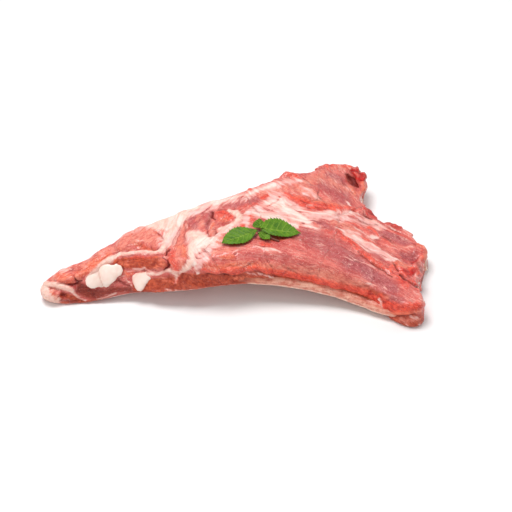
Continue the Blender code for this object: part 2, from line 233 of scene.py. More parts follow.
# Strokes of tissue as they show from the camera, part by part: kind, rise in millimetres, softness, then
# points along the stroke. A point is its place in a view 512 wide and 512 high, and the radius there.
# Some strokes are painted shade: the deepest lie in the creases and crevices, and the maroon ones deepen
# pockets, creases and the foot of the near walls over the meat's deeper red.
VIEW_SIDE = 512
VIEW_MM = 0.85
TISSUE = {
    "broad_tones": (
        ("purple", 0, 6, ((306, 236, 8), (322, 243, 9), (340, 254, 9), (356, 264, 8))),
        ("purple", 0, 6, ((352, 262, 7), (372, 276, 7), (392, 292, 6))),
        ("purple", 0, 5, ((322, 184, 6), (335, 190, 8), (345, 198, 7))),
        ("purple", 0, 6, ((236, 255, 1.6), (262, 256, 2), (290, 257, 2))),
        ("pale", 0, 5, ((225, 263, 1.6), (262, 264, 2), (294, 268, 2))),
        ("pale", 0, 7, ((306, 272, 4.4), (335, 277, 4.4), (365, 286, 4))),
        ("pale", 0, 5, ((300, 184, 5), (325, 176, 5), (345, 188, 4))),
    ),
    "narrow_end": (
        ("maroon", 0, 3, ((80, 290, 4.4), (92, 294, 5.6), (106, 292.5, 5), (118, 290, 4), (132, 289, 3))),
        ("brown", -0.4, 3, (
            (140, 287, 6.5), (152, 285, 7), (164, 284, 7.5), (178, 284, 7), (195, 284, 6), (212, 284, 5),
        )),
        ("maroon", -0.4, 2, ((78, 284, 2.4), (84, 288, 3.4), (90, 293, 4))),
        ("cream", 0.6, 3, ((45, 288, 4), (47, 294, 5.4), (52, 297.5, 5), (57, 300.5, 3.4))),
        ("pale", 0, 2.4, ((51, 288.5, 1.4), (57, 292, 2))),
        ("orange", -0.6, 2, ((51, 290.5, 1.2), (53.5, 294, 2), (56, 297.5, 1.4))),
        ("brown", -1.2, 2, ((62, 295, 2), (67, 297, 3), (75, 299.5, 3), (82, 301.5, 2))),
        ("crease_shade", -0.6, 1.6, ((60, 301, 1), (68, 302, 1.4), (77, 302.5, 1.2))),
        ("orange", 1.8, 2, ((58, 277, 3.4), (64, 277.5, 4.4), (71, 279, 4))),
        ("pale", 0.6, 1.6, ((52, 281, 2.2), (55, 277, 1.8))),
        ("brown", 0, 2, ((60, 282, 1.2), (66, 282.5, 1.4), (73, 281.5, 1.4))),
        ("silver", 0.4, 2, ((61, 271, 1.4), (65, 268.5, 2), (70, 266.5, 2))),
        ("cream", 0.3, 1.2, ((62, 273, 0.8), (66, 271, 1), (71, 269.5, 0.9))),
        ("crease_shade", -1.6, 1.4, ((58, 284, 0.7), (65, 284.5, 0.9), (72, 284, 1), (78, 283.5, 0.8))),
        ("crease_shade", -1.8, 1.4, ((74, 276, 0.8), (76, 279, 1), (78, 281.5, 1), (82, 281.5, 0.7))),
        ("cream", 1.6, 1.6, ((47, 284, 2), (53, 285, 2.6), (60, 286, 3), (66, 287.5, 3), (71, 289, 2.4))),
        ("pale", 0, 1.2, ((50, 287.5, 0.8), (58, 288.5, 1), (66, 290, 0.9))),
        ("cream", 0.6, 1.4, (
            (66, 286, 1.6), (71.5, 289, 1.8), (75, 294, 1.3), (80, 298.5, 0.9), (86, 300.5, 0.6),
        )),
    ),
    "strip_muscle": (
        ("orange", 1, 2.4, (
            (78, 275, 4.4), (84, 271, 5), (92, 266.5, 5.4), (101, 261, 4.6), (110, 255.5, 3),
        )),
        ("pale", 0.8, 2.6, ((76, 267.5, 2), (84, 263, 2), (96, 257, 2.6), (108, 251, 3), (116, 248, 2.5))),
        ("orange", 0, 2.5, ((90, 265, 2.6), (98, 261, 2.4))),
        ("pale", 0.3, 2, ((76, 277, 1.8), (80, 280, 1.8))),
    ),
    "oval_muscle": (
        ("pale", 2, 2.6, ((121, 246, 4), (129, 240, 7), (139, 236, 8.5), (149, 236.5, 7.5), (156, 242, 6))),
        ("orange", 0, 2, ((134, 245, 1.6), (141, 246.5, 2.8), (147, 249, 2.2), (155, 250.5, 1.2))),
        ("red", 0, 1.8, ((140, 245, 1), (145, 247.5, 1.4))),
        ("orange", 0, 2, ((119, 249.5, 1.4), (128, 250.5, 1.3), (138, 250.5, 1.4))),
        ("orange", 0.6, 1.8, ((153, 229.5, 2.2), (160, 229.5, 2.8), (167, 229, 1.4))),
        ("silver", 0, 1.8, ((158, 236, 1.4), (161, 240, 1.8))),
    ),
    "seam_over_cut": (
        ("cream", 0.9, 1.5, (
            (162, 251, 1.6), (155, 252.5, 1.2), (145, 252.8, 1.2), (130, 253.2, 1.5), (121, 254, 2),
            (116, 256.5, 2.4), (110, 260.5, 2.6), (103, 265, 2.4), (96, 269.5, 2.2), (90, 274, 1.8),
            (86, 278, 1.2),
        )),
    ),
    "cut_face": (
        ("brown", 1.2, 1.6, (
            (116, 262, 2.6), (122, 262.5, 4.2), (132, 262.5, 5.6), (146, 262.5, 6.2), (158, 263, 5.6),
            (163, 264, 4),
        )),
        ("orange", 0, 2, ((120, 265, 2.4), (128, 265.5, 2.2))),
        ("orange", 0.3, 2, ((156, 268, 1.8), (163, 266, 2.4), (161, 261, 1.6))),
        ("red", 0, 1.6, ((130, 258, 1), (142, 257, 1.2), (154, 258, 1))),
        ("crease_shade", -2.2, 1.2, (
            (163, 257, 0.8), (167.5, 259.5, 1), (168.8, 264, 1.3), (167.5, 268, 1.2), (164, 270.5, 0.7),
        )),
        ("orange", 0.6, 1.6, ((124, 272, 1.8), (128, 274.5, 2.6), (132, 272, 1.8))),
        ("fat", 0.5, 1.1, (
            (127, 270.5, 0.7), (133, 269, 1), (140, 269.5, 1.1), (145, 268, 0.8), (150, 271, 1),
        )),
        ("cream", 0.5, 1.2, ((148, 273.5, 2), (156, 274, 1.5), (163, 272.5, 1.2), (169, 270.5, 1.4))),
        ("crease_shade", 0, 1.6, ((119, 280, 1.6), (124, 283, 1.6), (129, 286, 1.4))),
        ("fat", 0.4, 1, ((122.5, 275.5, 0.8), (127, 279.5, 0.8), (132, 284.5, 0.7))),
        ("pale", 0.2, 1.2, ((154, 277, 1), (160, 278, 1.2), (166, 277.5, 1))),
        ("orange", 0, 1.6, ((162, 281, 1.4), (170, 279.5, 1.6), (176, 281.5, 1.2))),
        ("crease_shade", -0.6, 1, ((152, 291.5, 0.8), (140, 291.5, 0.8), (128, 292, 0.7))),
        ("fat", 0.3, 1, ((96, 299.5, 0.7), (106, 297, 0.7), (116, 294, 0.6))),
    ),
    "far_silverskin": (
        ("silver", 0.3, 4, (
            (118, 237, 2), (130, 230, 4), (142, 225, 6), (155, 222, 9), (168, 218, 11), (182, 213, 9),
            (196, 208, 6), (210, 204, 5),
        )),
        ("fat", 0.6, 3, (
            (140, 226, 3), (152, 223, 5), (164, 219, 7.5), (176, 215, 8), (188, 211.5, 6), (200, 208.5, 4),
            (211, 204.5, 3.4),
        )),
        ("cream", 0.2, 3.4, (
            (148, 226, 2.4), (157, 226, 4.4), (166, 225, 6.4), (176, 221, 6), (185, 216, 4.4),
            (194, 211.5, 2.6),
        )),
        ("silver", 0.3, 3, (
            (208, 205, 5), (220, 201.5, 5), (234, 198, 4.4), (248, 194.5, 4.4), (262, 190, 4.6),
            (276, 185.5, 4), (290, 182, 3), (300, 181, 1.6),
        )),
        ("fat", 0.3, 2, (
            (214, 203, 2.6), (228, 199, 2.2), (240, 196.5, 1.6), (252, 193, 1.8), (263, 189.5, 2.2),
            (274, 185.5, 2),
        )),
        ("purple", 0, 2, ((196, 211.5, 0.8), (206, 208.5, 1), (216, 205.5, 0.8))),
        ("fat", 0.6, 4, ((178, 224, 8.5), (174, 232, 8), (169, 240, 6.5), (164.5, 246, 4.2))),
        ("cream", 0.8, 2.4, ((174, 229, 4), (170, 237, 4), (166, 244, 3), (161.5, 250.5, 1.8))),
        ("orange", 0, 2, ((158, 234, 1.2), (161.5, 238, 1.4))),
        ("silver", 0, 2, ((156, 240, 1), (160, 245, 1.2))),
        ("purple", 0, 2.2, ((186, 219, 0.8), (181, 227, 1), (176, 235, 0.9), (171, 243, 0.7))),
        ("silver", 0, 1.6, ((177, 229, 1.8), (171, 238, 2), (166, 245, 1.6))),
    ),
    "red_strip": (
        ("pale", 1.6, 2.4, (
            (184, 226, 1.2), (183.5, 232, 2), (182, 240, 4), (180, 249, 7), (178, 258, 8), (177, 265, 6.5),
        )),
        ("red", 0.4, 3, ((173, 252, 3), (172, 259, 3.4), (176, 264, 4), (177, 269, 3))),
        ("orange", 0, 2.5, ((184, 257, 2.5), (185, 248, 2), (176, 248, 2))),
        ("purple", 0, 2, ((184.5, 238, 1.2), (186, 244, 1.4))),
        ("crease_shade", -1.8, 1.2, ((166.5, 254, 1), (168, 251, 0.9), (170.5, 249, 0.6))),
        ("maroon", -0.8, 1.2, ((184, 223.5, 0.6), (185, 229, 1), (184.5, 236, 0.7), (187, 243, 0.5))),
    ),
    "cream_patch": (
        ("silver", 0.3, 4, ((196, 240, 10), (208, 243, 8), (218, 240, 5))),
        ("cream", 1, 2.6, (
            (190, 235, 3.6), (198, 237, 6), (204, 241, 6), (195, 245, 5.6), (191, 252, 3.6), (192, 260, 3.4),
            (188, 266, 3.2), (182, 271, 2), (178, 276, 1.2),
        )),
        ("fat", 0.2, 4, ((198, 246, 5), (197, 258, 4.6), (196, 265, 3.4))),
        ("fat", 0.4, 2.4, ((204, 242, 4), (212, 242, 3), (220, 238.5, 2))),
        ("silver", 0.4, 2.6, ((200, 262, 3.4), (208, 258, 2.6), (196, 268, 2.6))),
        ("cream", 0.5, 1.6, ((170, 270.5, 1.6), (175, 273, 2.2), (176, 278, 1.2), (175, 283, 0.7))),
        ("red", 0, 1.5, ((178, 277, 1.6), (175, 282.5, 1.4))),
        ("silver", -0.5, 1.4, ((209, 252.5, 4), (202, 254, 3.6), (197, 256.5, 2.2))),
        ("purple", -0.3, 1.2, ((199, 252.5, 1), (205, 250, 1), (212, 250.5, 0.8))),
        ("purple", -0.5, 1.2, ((195.5, 257.5, 1), (200, 258.5, 0.9), (204, 256.5, 0.7))),
        ("pale", 0.4, 2.4, ((214, 253, 2.6), (222, 252, 2.2), (229, 250, 2))),
        ("silver", 0.3, 2, ((214, 252, 1.4), (221, 250.5, 1.2), (227, 249, 1))),
        ("orange", 0, 2.4, ((222, 257, 2.6), (232, 257, 3))),
    ),
    "middle_far_muscles": (
        ("purple", 0.4, 3, ((192, 216, 4), (202, 213, 4.4), (212, 210, 3.6))),
        ("silver", 0, 2.4, ((190, 214.5, 2), (197, 212, 2.4), (205, 210, 1.8))),
        ("purple", 0.4, 2, ((190.5, 220, 2.2), (193.5, 225.5, 3.4), (196.5, 228.5, 2.4))),
        ("pale", 0.8, 2.5, ((200, 219, 3.2), (202, 226, 3))),
        ("purple", 0, 2, ((198, 222, 1.6), (203, 218, 1.6))),
        ("crease_shade", -1.8, 1.4, ((213, 211.5, 0.8), (212.5, 216, 1.2), (215, 219, 0.9))),
        ("purple", -0.7, 1.8, ((211, 213, 2.4), (208.5, 219, 3.6), (207.5, 226.5, 3.2))),
        ("maroon", -0.6, 1.6, ((212, 212, 1), (210.5, 216, 1.7), (208.5, 220, 1.4), (206.5, 224, 0.8))),
        ("orange", 1, 2, ((212.5, 225, 2.2), (211, 229, 1.6))),
        ("red", 2.2, 1.8, ((217, 214, 2.8), (223.5, 216, 4.2), (231, 217.6, 2.8))),
        ("orange", 0.4, 2, ((219, 219.6, 1.6), (226, 220.4, 1.8))),
        ("silver", 0.3, 3, ((226, 229, 4), (236, 226, 4), (244, 228, 4), (246, 216, 4))),
        ("cream", 1.2, 2, (
            (230, 211.5, 2), (236, 213, 3.2), (239.5, 217, 3.2), (236, 222.5, 2.8), (228, 226, 2),
            (219, 230, 1.6),
        )),
        ("fat", 0.8, 2.4, ((234, 225, 1.8), (227, 230, 2), (220, 234, 2.2), (214, 238, 2.4))),
        ("red", -1, 1.2, ((208, 230.5, 0.9), (209.5, 236.5, 1), (215.5, 237, 0.8), (217, 233, 0.6))),
        ("pale", 2.2, 1.6, ((212.4, 233.5, 3),)),
        ("purple", 0.2, 3, ((222, 206.5, 2.4), (232, 204.5, 3.2), (244, 202.5, 4), (256, 200, 4))),
        ("red", 0, 3, ((245, 206, 1.6), (256, 203.5, 2))),
        ("silver", 0, 2, ((233, 202, 1), (246, 199.5, 1.2))),
        ("red", 0.5, 1.8, ((251, 216, 1.4), (253.5, 220.5, 2.6))),
        ("red", 0.2, 1.4, ((240, 210.5, 1.4), (246, 213, 1.4))),
        ("red", 0, 1.6, ((243, 226, 1.6), (238, 231, 1.6))),
        ("orange", 0, 1.6, ((246, 233, 1.4), (238, 235, 1.6))),
        ("pale", 0.5, 2.5, ((220, 241, 3), (228, 237, 3))),
    ),
    "centre_fat": (
        ("pale", 0.3, 3, ((262, 194, 3.4), (274, 192, 3.4), (286, 188, 3.4))),
        ("silver", 0.4, 4, (
            (250, 213, 3), (260, 210, 6), (272, 206, 9), (284, 208, 11), (296, 215, 10.5), (308, 221, 7.5),
            (318, 227, 4.4),
        )),
        ("silver", 0.2, 4, ((270, 196, 3.4), (280, 197, 5), (285, 203, 7))),
        ("cream", 0.4, 4, ((276, 205, 2), (284, 208, 3.6), (292, 214, 4), (300, 220, 3))),
        ("fat", 0.6, 3.4, (
            (264, 204.5, 2.4), (272, 203.5, 3.4), (280, 204.5, 4.6), (289, 210, 5.6), (298, 217, 5.2),
            (306, 223, 4), (315, 228, 2.4),
        )),
        ("fat", 0.3, 2.4, (
            (254, 213.5, 1.6), (264, 215, 2), (276, 217.5, 2.6), (288, 222, 2.6), (297, 226, 2),
        )),
        ("fat", 0.4, 2, ((279, 196.5, 1.8), (284, 201, 3))),
        ("purple", -0.3, 1.2, ((255, 209, 0.7), (264, 209.5, 0.9), (273, 212.5, 0.7), (280, 214.5, 0.4))),
        ("purple", -0.5, 1.2, (
            (283, 201, 0.5), (289, 206, 0.9), (297, 211, 1), (306, 216, 0.9), (316, 219, 0.6),
        )),
        ("purple", -0.2, 1.1, ((287, 213, 0.5), (296, 218.5, 0.8), (304, 225, 0.5))),
        ("red", -0.5, 1.2, ((268, 206, 0.7), (275, 203.5, 1.1), (280, 198.5, 1.1))),
        ("red", 0, 1.6, ((262, 198, 2), (267, 195, 1.4))),
        ("fat", 0.4, 2.4, ((306, 216, 1.6), (318, 218, 2.2), (330, 219.5, 1.8), (340, 222, 1))),
    ),
    "red_stripe": (
        ("pale", 0, 3, ((295, 189, 3.4), (306, 192, 4), (316, 198, 3.6), (328, 202, 3))),
        ("red", 1, 2.6, (
            (285, 192, 1.6), (292, 197, 3.2), (302, 201.5, 4.2), (313, 205.5, 4.4), (325, 207, 4),
            (337, 208.5, 3.4), (350, 209.5, 2.6), (360, 211, 2),
        )),
        ("orange", 0.3, 2.6, ((296, 196, 1.4), (308, 199.5, 1.6), (322, 203, 1.4), (340, 206, 1.4))),
        ("crease_shade", -0.7, 1, ((301, 200.5, 0.5), (306, 203, 0.9), (311, 205.5, 0.7))),
        ("crease_shade", -0.7, 1, ((316, 207, 0.8), (321, 209, 0.9), (327, 210, 0.5))),
        ("silver", 0.4, 2.2, ((301, 187, 1.6), (306, 189.5, 1.8), (311, 190.5, 1))),
        ("silver", 0.4, 2.2, ((304, 193.5, 1.4), (311, 193.5, 2.2), (317, 197, 1.6))),
        ("fat", 0.3, 1.4, ((303, 188.5, 0.8), (307, 190.5, 0.9))),
        ("fat", 0.3, 1.4, ((309, 193.5, 0.9), (315, 196.5, 0.9), (318.5, 198.5, 0.5))),
        ("fat", 0.3, 1.2, ((321, 192.5, 0.8), (325, 194.5, 0.8))),
        ("silver", 0.3, 2, ((336, 182, 1.4), (342, 186, 1.8), (350, 190, 1.4))),
        ("fat", 0.3, 1, ((346, 201, 0.5), (349, 204, 1), (350.5, 206.5, 0.5))),
        ("fat", 0.2, 0.9, ((357, 212, 0.6), (360, 216, 0.8))),
    ),
    "far_streaks": (
        ("silver", 0.3, 3, (
            (312, 215, 3), (322, 215.5, 4.4), (334, 216, 5), (346, 218.5, 5), (358, 221, 4.4),
            (370, 224.5, 3.6), (382, 228, 2.6), (392, 231.5, 1.8),
        )),
        ("fat", 0.4, 2, (
            (300, 210.5, 1.2), (312, 213, 1.6), (324, 213.5, 2), (336, 213.5, 1.6), (346, 214.5, 1.2),
            (354, 216, 0.7),
        )),
        ("fat", 0.4, 1.6, (
            (344, 211.5, 0.8), (354, 213.5, 1.3), (364, 217.5, 1.6), (374, 222, 1.5), (385, 227, 1.2),
            (395, 230, 0.8),
        )),
        ("fat", 0.3, 1.4, ((356, 223, 0.8), (366, 226, 1.3), (376, 228.5, 1.3), (385, 231, 0.7))),
        ("purple", -0.3, 1.4, ((322, 217.5, 0.6), (334, 218, 0.9), (346, 221.5, 0.9), (356, 225.5, 0.6))),
        ("purple", -0.3, 1.3, ((338, 214.5, 0.5), (350, 217.5, 0.9), (362, 221, 0.8), (374, 226.5, 0.5))),
        ("red", 0.8, 1.6, ((340, 212.5, 0.7), (352, 216, 0.8), (362, 220.5, 0.8))),
        ("purple", 1, 2.4, ((312, 222.5, 2), (321, 224.5, 3.2), (329, 228.5, 2.6), (336, 233, 1.6))),
        ("red", 0, 1.6, ((312, 224.5, 0.8), (322, 228.5, 1.2), (332, 233, 1))),
        ("pale", 1, 2, ((333, 222.5, 2.2), (341, 224.5, 3), (349, 228, 2.6), (358, 232, 1.8))),
        ("red", 0.4, 1.5, ((345, 221.5, 0.8), (356, 225.5, 1.4), (367, 231.5, 1.2), (377, 237, 1))),
        ("blood", 1.8, 1.5, ((364, 209, 1.2), (369, 212.5, 2.2), (375, 217, 1.8))),
        ("blood", 1.8, 1.5, ((386, 223.5, 1.3), (393, 226, 2), (401, 229.5, 1.6))),
        ("crease_shade", -0.8, 1, ((358, 219.5, 0.5), (368, 223.5, 0.8), (378, 225.5, 0.5))),
        ("crease_shade", -0.6, 0.9, ((363, 213.5, 0.5), (368, 216.5, 0.7), (372, 219.5, 0.4))),
    ),
    "near_streaks": (
        ("silver", 0.4, 2.6, (
            (336, 229, 1.4), (345, 233, 3), (354, 237.5, 4.4), (364, 243.5, 4.4), (374, 249.5, 3.6),
            (384, 255, 2.8), (393, 259.5, 1.8), (400, 262.5, 1),
        )),
        ("fat", 0.5, 1.6, (
            (331, 226, 0.6), (340, 230, 1.2), (349, 233, 1.8), (357, 238, 2), (364, 241.5, 1.2),
            (372, 245, 1), (380, 249.5, 0.7),
        )),
        ("fat", 0.4, 1.4, (
            (346, 236, 0.8), (355, 242, 1.4), (363, 247, 1.2), (372, 252.5, 1.4), (381, 257.5, 1.2),
            (390, 261.5, 0.8),
        )),
        ("fat", 0.3, 1.2, ((380, 251.5, 0.5), (388, 256, 0.8), (398, 261, 0.9), (402, 263.5, 0.4))),
        ("purple", -0.4, 1.4, (
            (350, 237, 0.5), (359, 243, 0.9), (368, 247.5, 1), (377, 253, 0.9), (386, 258, 0.5),
        )),
        ("purple", 0, 1.8, ((366, 250, 0.8), (375, 254.5, 1.6), (384, 260, 1.4))),
        ("fat", 0.4, 1.2, ((368, 236, 0.7), (373.5, 237, 1.2), (379, 236.5, 0.8))),
        ("fat", 0.2, 1.1, ((352, 227, 0.6), (361, 232.5, 0.8), (369, 237.5, 0.8), (376, 243, 0.4))),
        ("red", 0.8, 1.8, ((362, 236, 1.2), (371, 241.5, 1.6), (380, 248, 1.2))),
        ("red", 1, 1.8, ((368, 228, 1.6), (376, 232, 1.8), (384, 238, 1.6), (390, 244, 1.2))),
        ("crease_shade", -0.8, 1, ((344, 237, 0.5), (352, 243.5, 0.7), (361, 250, 0.7), (370, 256.5, 0.6))),
    ),
    "wide_end": (
        ("purple", 0.6, 3, ((380, 233, 1.8), (389, 235, 3.4), (400, 239, 4), (411, 242.5, 3))),
        ("purple", 0.2, 2.4, ((384, 234.5, 2), (393, 237.5, 3.6), (404, 241.5, 3.4))),
        ("crease_shade", -0.6, 1, ((383, 236, 0.6), (387, 238.5, 0.8), (391, 240.5, 0.5))),
        ("red", 0.6, 1.6, ((388, 230.5, 1.2), (398, 233.5, 1.4), (409, 239, 1.3), (418, 243.5, 1))),
        ("pale", 0.6, 1.6, ((392, 244.5, 1.2), (401, 247.5, 1.3), (410, 247, 1.2), (418, 246.5, 1))),
        ("fat", 0.3, 1, ((389, 247, 0.5), (398, 248.5, 0.9), (408, 247, 0.8), (415, 248, 0.5))),
        ("purple", -0.5, 1.8, ((402, 253, 2.4), (407, 256, 5), (412, 256.5, 5), (417, 251.5, 2))),
        ("purple", -0.3, 2, ((405, 256, 3), (410, 258.5, 3.6), (414, 257.5, 2.6))),
        ("blood", -1.4, 1.6, ((418.5, 256, 1), (416.5, 260, 1.8), (412, 263, 1.4))),
        ("orange", 1.4, 1.6, ((419, 244.5, 1.8), (425, 246, 2.4), (426, 251.5, 2.6), (423.5, 258, 2.2))),
        ("red", 0.4, 1.4, ((422, 250, 1.2), (421.5, 255, 1.2), (423, 262, 1.2))),
        ("pale", 0.6, 1.2, ((423, 246.5, 0.9), (424.5, 253, 0.7))),
        ("fat", 0.3, 1.2, ((391, 253, 0.6), (396, 259, 0.9), (402, 264.5, 0.7))),
        ("orange", 0.8, 2.4, ((394, 264, 2), (402, 266.5, 2.6), (409, 269.5, 2.4))),
        ("red", 1.8, 1.6, ((391, 267.5, 2), (398, 270, 2.8), (406, 274, 3), (414, 271, 2.6), (419, 275, 2))),
        ("blood", 0.6, 1.4, ((403, 272, 1.6), (409, 275, 1.8), (415, 272.5, 1.6))),
        ("blood", 0.6, 1.4, ((411, 281.5, 1.4), (416, 284.5, 1.6))),
        ("pale", 1, 1.4, ((397, 266, 1), (403, 268.5, 1.2), (412, 268, 1))),
        ("red", 1.6, 1.6, ((408, 281, 2.4), (415, 284.5, 2.6), (419.5, 290, 2))),
        ("fat", 0.4, 1, ((414, 275.5, 0.7), (416.5, 278, 0.9))),
        ("crease_shade", -2.4, 1.4, ((400.5, 275, 0.9), (406, 279, 1.6), (412, 283.5, 1.6), (417, 288, 1))),
        ("crease_shade", -1.6, 1.2, ((393, 263.5, 0.6), (397, 268, 0.9), (399, 272, 0.7))),
        ("crease_shade", -1.6, 1.3, ((411, 266, 0.8), (416, 269, 1.1), (419.5, 272.5, 0.7))),
        ("maroon", -0.6, 2.4, ((418, 264, 2), (421.5, 272, 2), (422, 282, 1.8))),
    ),
    "near_muscle": (
        ("red", 1.2, 2, (
            (337, 232.5, 2), (346, 240, 2.6), (356, 248, 2.8), (366, 255.5, 2.6), (377, 263, 2.6),
            (388, 270, 2.4), (398, 278, 2.2), (408, 287, 2),
        )),
        ("crease_shade", -1.2, 1.2, (
            (358, 252, 0.6), (366, 258.5, 0.9), (374, 264.5, 0.9), (384, 271, 0.9), (393, 277.5, 0.6),
        )),
        ("purple", 0, 2.4, ((352, 262, 4), (366, 270, 5), (382, 279, 5), (396, 289, 4))),
        ("fat", 0.3, 1, (
            (343, 256.5, 0.5), (348, 258.5, 0.9), (358, 260.5, 0.6), (367, 264, 0.7), (376, 267.5, 0.5),
        )),
        ("fat", 0.2, 0.9, ((324, 267, 0.5), (327.5, 270, 0.9), (330, 273, 0.4))),
        ("fat", 0.2, 1, ((368, 283, 0.8), (373, 285.5, 1.5), (378, 286.5, 0.7))),
        ("fat", 0.2, 1, ((414, 291.5, 0.7), (418.5, 294.5, 1.3), (421.5, 299, 0.7))),
        ("fat", 0.2, 0.9, ((384, 286.5, 0.5), (387, 289, 0.8))),
        ("fat", 0.2, 0.9, ((398, 288, 0.5), (399.5, 290, 0.7))),
        ("fat", 0.2, 0.9, ((380, 281.5, 0.4), (385, 283.5, 0.7), (391, 286, 0.4))),
        ("silver", 0.2, 1.4, ((300, 241, 1), (301.5, 246, 1.2))),
        ("fat", 0.6, 1.2, (
            (253, 244.5, 0.8), (261, 246.5, 1.2), (268, 249, 1.8), (275, 250.5, 1), (282, 254, 0.5),
        )),
        ("fat", 0.8, 0.9, ((233, 251, 0.6), (235.5, 251.5, 1.3), (238, 249.5, 0.8))),
        ("crease_shade", -1, 0.9, ((234, 254.5, 0.7), (237.5, 252.5, 0.6))),
        ("red", 0, 2, ((262, 243, 2), (270, 245, 2))),
        ("brown", -0.4, 2, ((231, 244, 1.6), (240, 243.5, 1.8), (249, 241, 1.4))),
        ("brown", -0.6, 1.8, ((268, 238, 1.6), (275, 238.5, 2.6), (283, 237.5, 1.6), (292, 237, 1))),
        ("fat", 0.2, 1, ((213, 264, 0.5), (220, 265.5, 0.8), (226, 266, 0.5))),
    ),
    "red_edge": (
        ("orange", 0.6, 3, (
            (206, 267, 3), (222, 267, 4), (240, 266, 4), (256, 266, 3.6), (272, 267.5, 3.4),
        )),
        ("pale", 0.6, 4, ((262, 265, 2.4), (280, 267, 3), (298, 270, 2.4))),
        ("pale", 0.4, 5, ((304, 271, 3.6), (322, 275, 4.4), (340, 278, 4))),
        ("red", 2, 2, (
            (203, 270, 1.4), (212, 271, 2.2), (222, 270, 2.6), (232, 270.5, 3), (240, 270.5, 2.8),
            (247, 268.5, 2.2), (256, 268, 2.4), (268, 270, 2.6), (282, 273, 3), (300, 276, 3.2),
            (318, 280, 3.2), (336, 284.5, 3.2), (352, 288.5, 3), (366, 292.5, 2.6),
        )),
        ("red", 0.6, 2.4, ((368, 293, 2.6), (374, 298, 3), (379, 303, 2.4))),
    ),
    "edge_band": (
        ("brown", -1.4, 2, (
            (182, 277, 3), (194, 280, 5), (208, 281, 6), (224, 281.5, 6.2), (238, 281.5, 5.6), (250, 282, 5),
            (262, 283, 4.4), (270, 284, 3),
        )),
        ("crease_shade", -0.6, 1.2, ((206, 275.5, 0.6), (220, 275, 0.9), (234, 275.5, 0.9), (248, 276.5, 0.6))),
        ("orange", 0, 2.5, ((236, 279.5, 1.6), (250, 280.5, 2), (264, 283, 2.4))),
        ("fat", 0.3, 1.2, ((246, 271.5, 0.6), (252, 274, 1.1), (262, 275.5, 0.9), (273, 277.5, 1))),
        ("fat", 0.3, 1.2, ((195, 268, 1.2), (199, 272, 1.6), (196, 275, 0.8))),
        ("orange", 0, 1.6, ((192, 275, 1.2), (190, 279, 1))),
        ("fat", 0.6, 1, (
            (166, 290, 0.8), (172, 291.5, 1), (182, 291, 1), (195, 290, 0.9), (210, 288.2, 0.8),
            (225, 287.2, 0.7), (240, 287, 0.6),
        )),
    ),
    "far_lip": (
        ("red", 1, 2, ((327, 166, 2.2), (334, 165, 2.6), (342, 165.5, 2.8), (349, 167, 2.6))),
        ("pale", 0.5, 1.6, ((331, 168.5, 1.4), (339, 167.5, 1.6), (346, 169.5, 1))),
        ("maroon", -0.4, 2, ((346, 173.5, 1.4), (349, 177.5, 2.4), (353, 182, 2.7), (356.5, 186.5, 1.6))),
        ("blood", 0.8, 1.6, ((351.5, 170.5, 2), (356, 173, 4), (359.5, 177, 4.6), (362, 182, 3))),
        ("blood", 2, 1.2, ((357, 169, 1.8),)),
        ("blood", 2, 1.2, ((364, 173, 1.6), (364.5, 178, 1.4))),
        ("red", 0.6, 1.2, ((354.5, 173, 1.2), (358, 176, 1.4))),
        ("maroon", -1.2, 1.1, ((361.5, 170, 0.7), (360, 173, 0.6))),
        ("orange", 1.2, 1.8, ((363, 184, 2.2), (363, 189, 2), (361, 193, 1.6))),
        ("crease_shade", -1.4, 1.5, (
            (347.5, 173.5, 0.8), (350, 176.5, 1.5), (353, 180, 2.1), (355.5, 183.5, 1.8), (358, 186.5, 0.8),
        )),
        ("orange", 0.4, 1.8, ((350, 188, 1.6), (355, 193, 2))),
        ("purple", 0, 2.4, ((328, 175, 3.5), (338, 178, 4), (344, 184, 3))),
        ("pale", 0.3, 1.4, ((341, 184, 0.9), (347, 190, 1.2), (355, 196, 1))),
        ("red", 1.2, 2, ((289, 174, 2.6), (294, 175.5, 2.4), (300, 177, 1.6))),
        ("red", 1, 1.5, ((249.5, 190, 2),)),
        ("fat", 0.3, 1.1, ((287, 180.5, 0.7), (290.5, 181, 1))),
    ),
    "near_corner": (
        ("red", 0.6, 3, ((380, 296, 2), (388, 301, 2.6), (396, 303, 2.6))),
        ("pale", 0.2, 3, ((386, 297, 2), (396, 299, 2))),
        ("red", 1.4, 2.4, ((386, 306, 3.4), (396, 308, 5), (408, 309, 6), (418, 305, 4.4))),
        ("orange", 0.4, 2.5, ((384, 311, 2.2), (395, 313, 2.4), (408, 313, 2.2), (418, 311, 2))),
        ("purple", 0, 2.5, ((392, 299, 3), (402, 300, 3))),
        ("red", 0.6, 1.6, ((376, 297, 1.6), (381, 301, 1.6), (385, 307, 1.6))),
        ("fat", 0.8, 1.2, ((379.5, 300, 0.8), (382, 303, 1.6), (383.5, 306, 1))),
        ("maroon", -1.2, 1.4, ((386, 316.5, 0.8), (396, 316.5, 0.9), (406, 316, 0.9), (415, 315, 0.8))),
        ("brown", 0, 2.2, ((396, 321, 2.6), (406, 323, 3.4), (417, 322, 3.2))),
        ("pale", 0.4, 2.2, ((400, 320, 1.4), (408, 320.5, 2), (417, 319.5, 2))),
        ("fat", 0.3, 1.6, ((409, 317, 0.8), (415, 318, 1.2), (420, 320, 1.2), (420, 325, 1))),
        ("fat", 0.2, 1, ((401, 318, 0.6), (405, 322, 0.9), (409, 326, 0.6))),
    ),
}
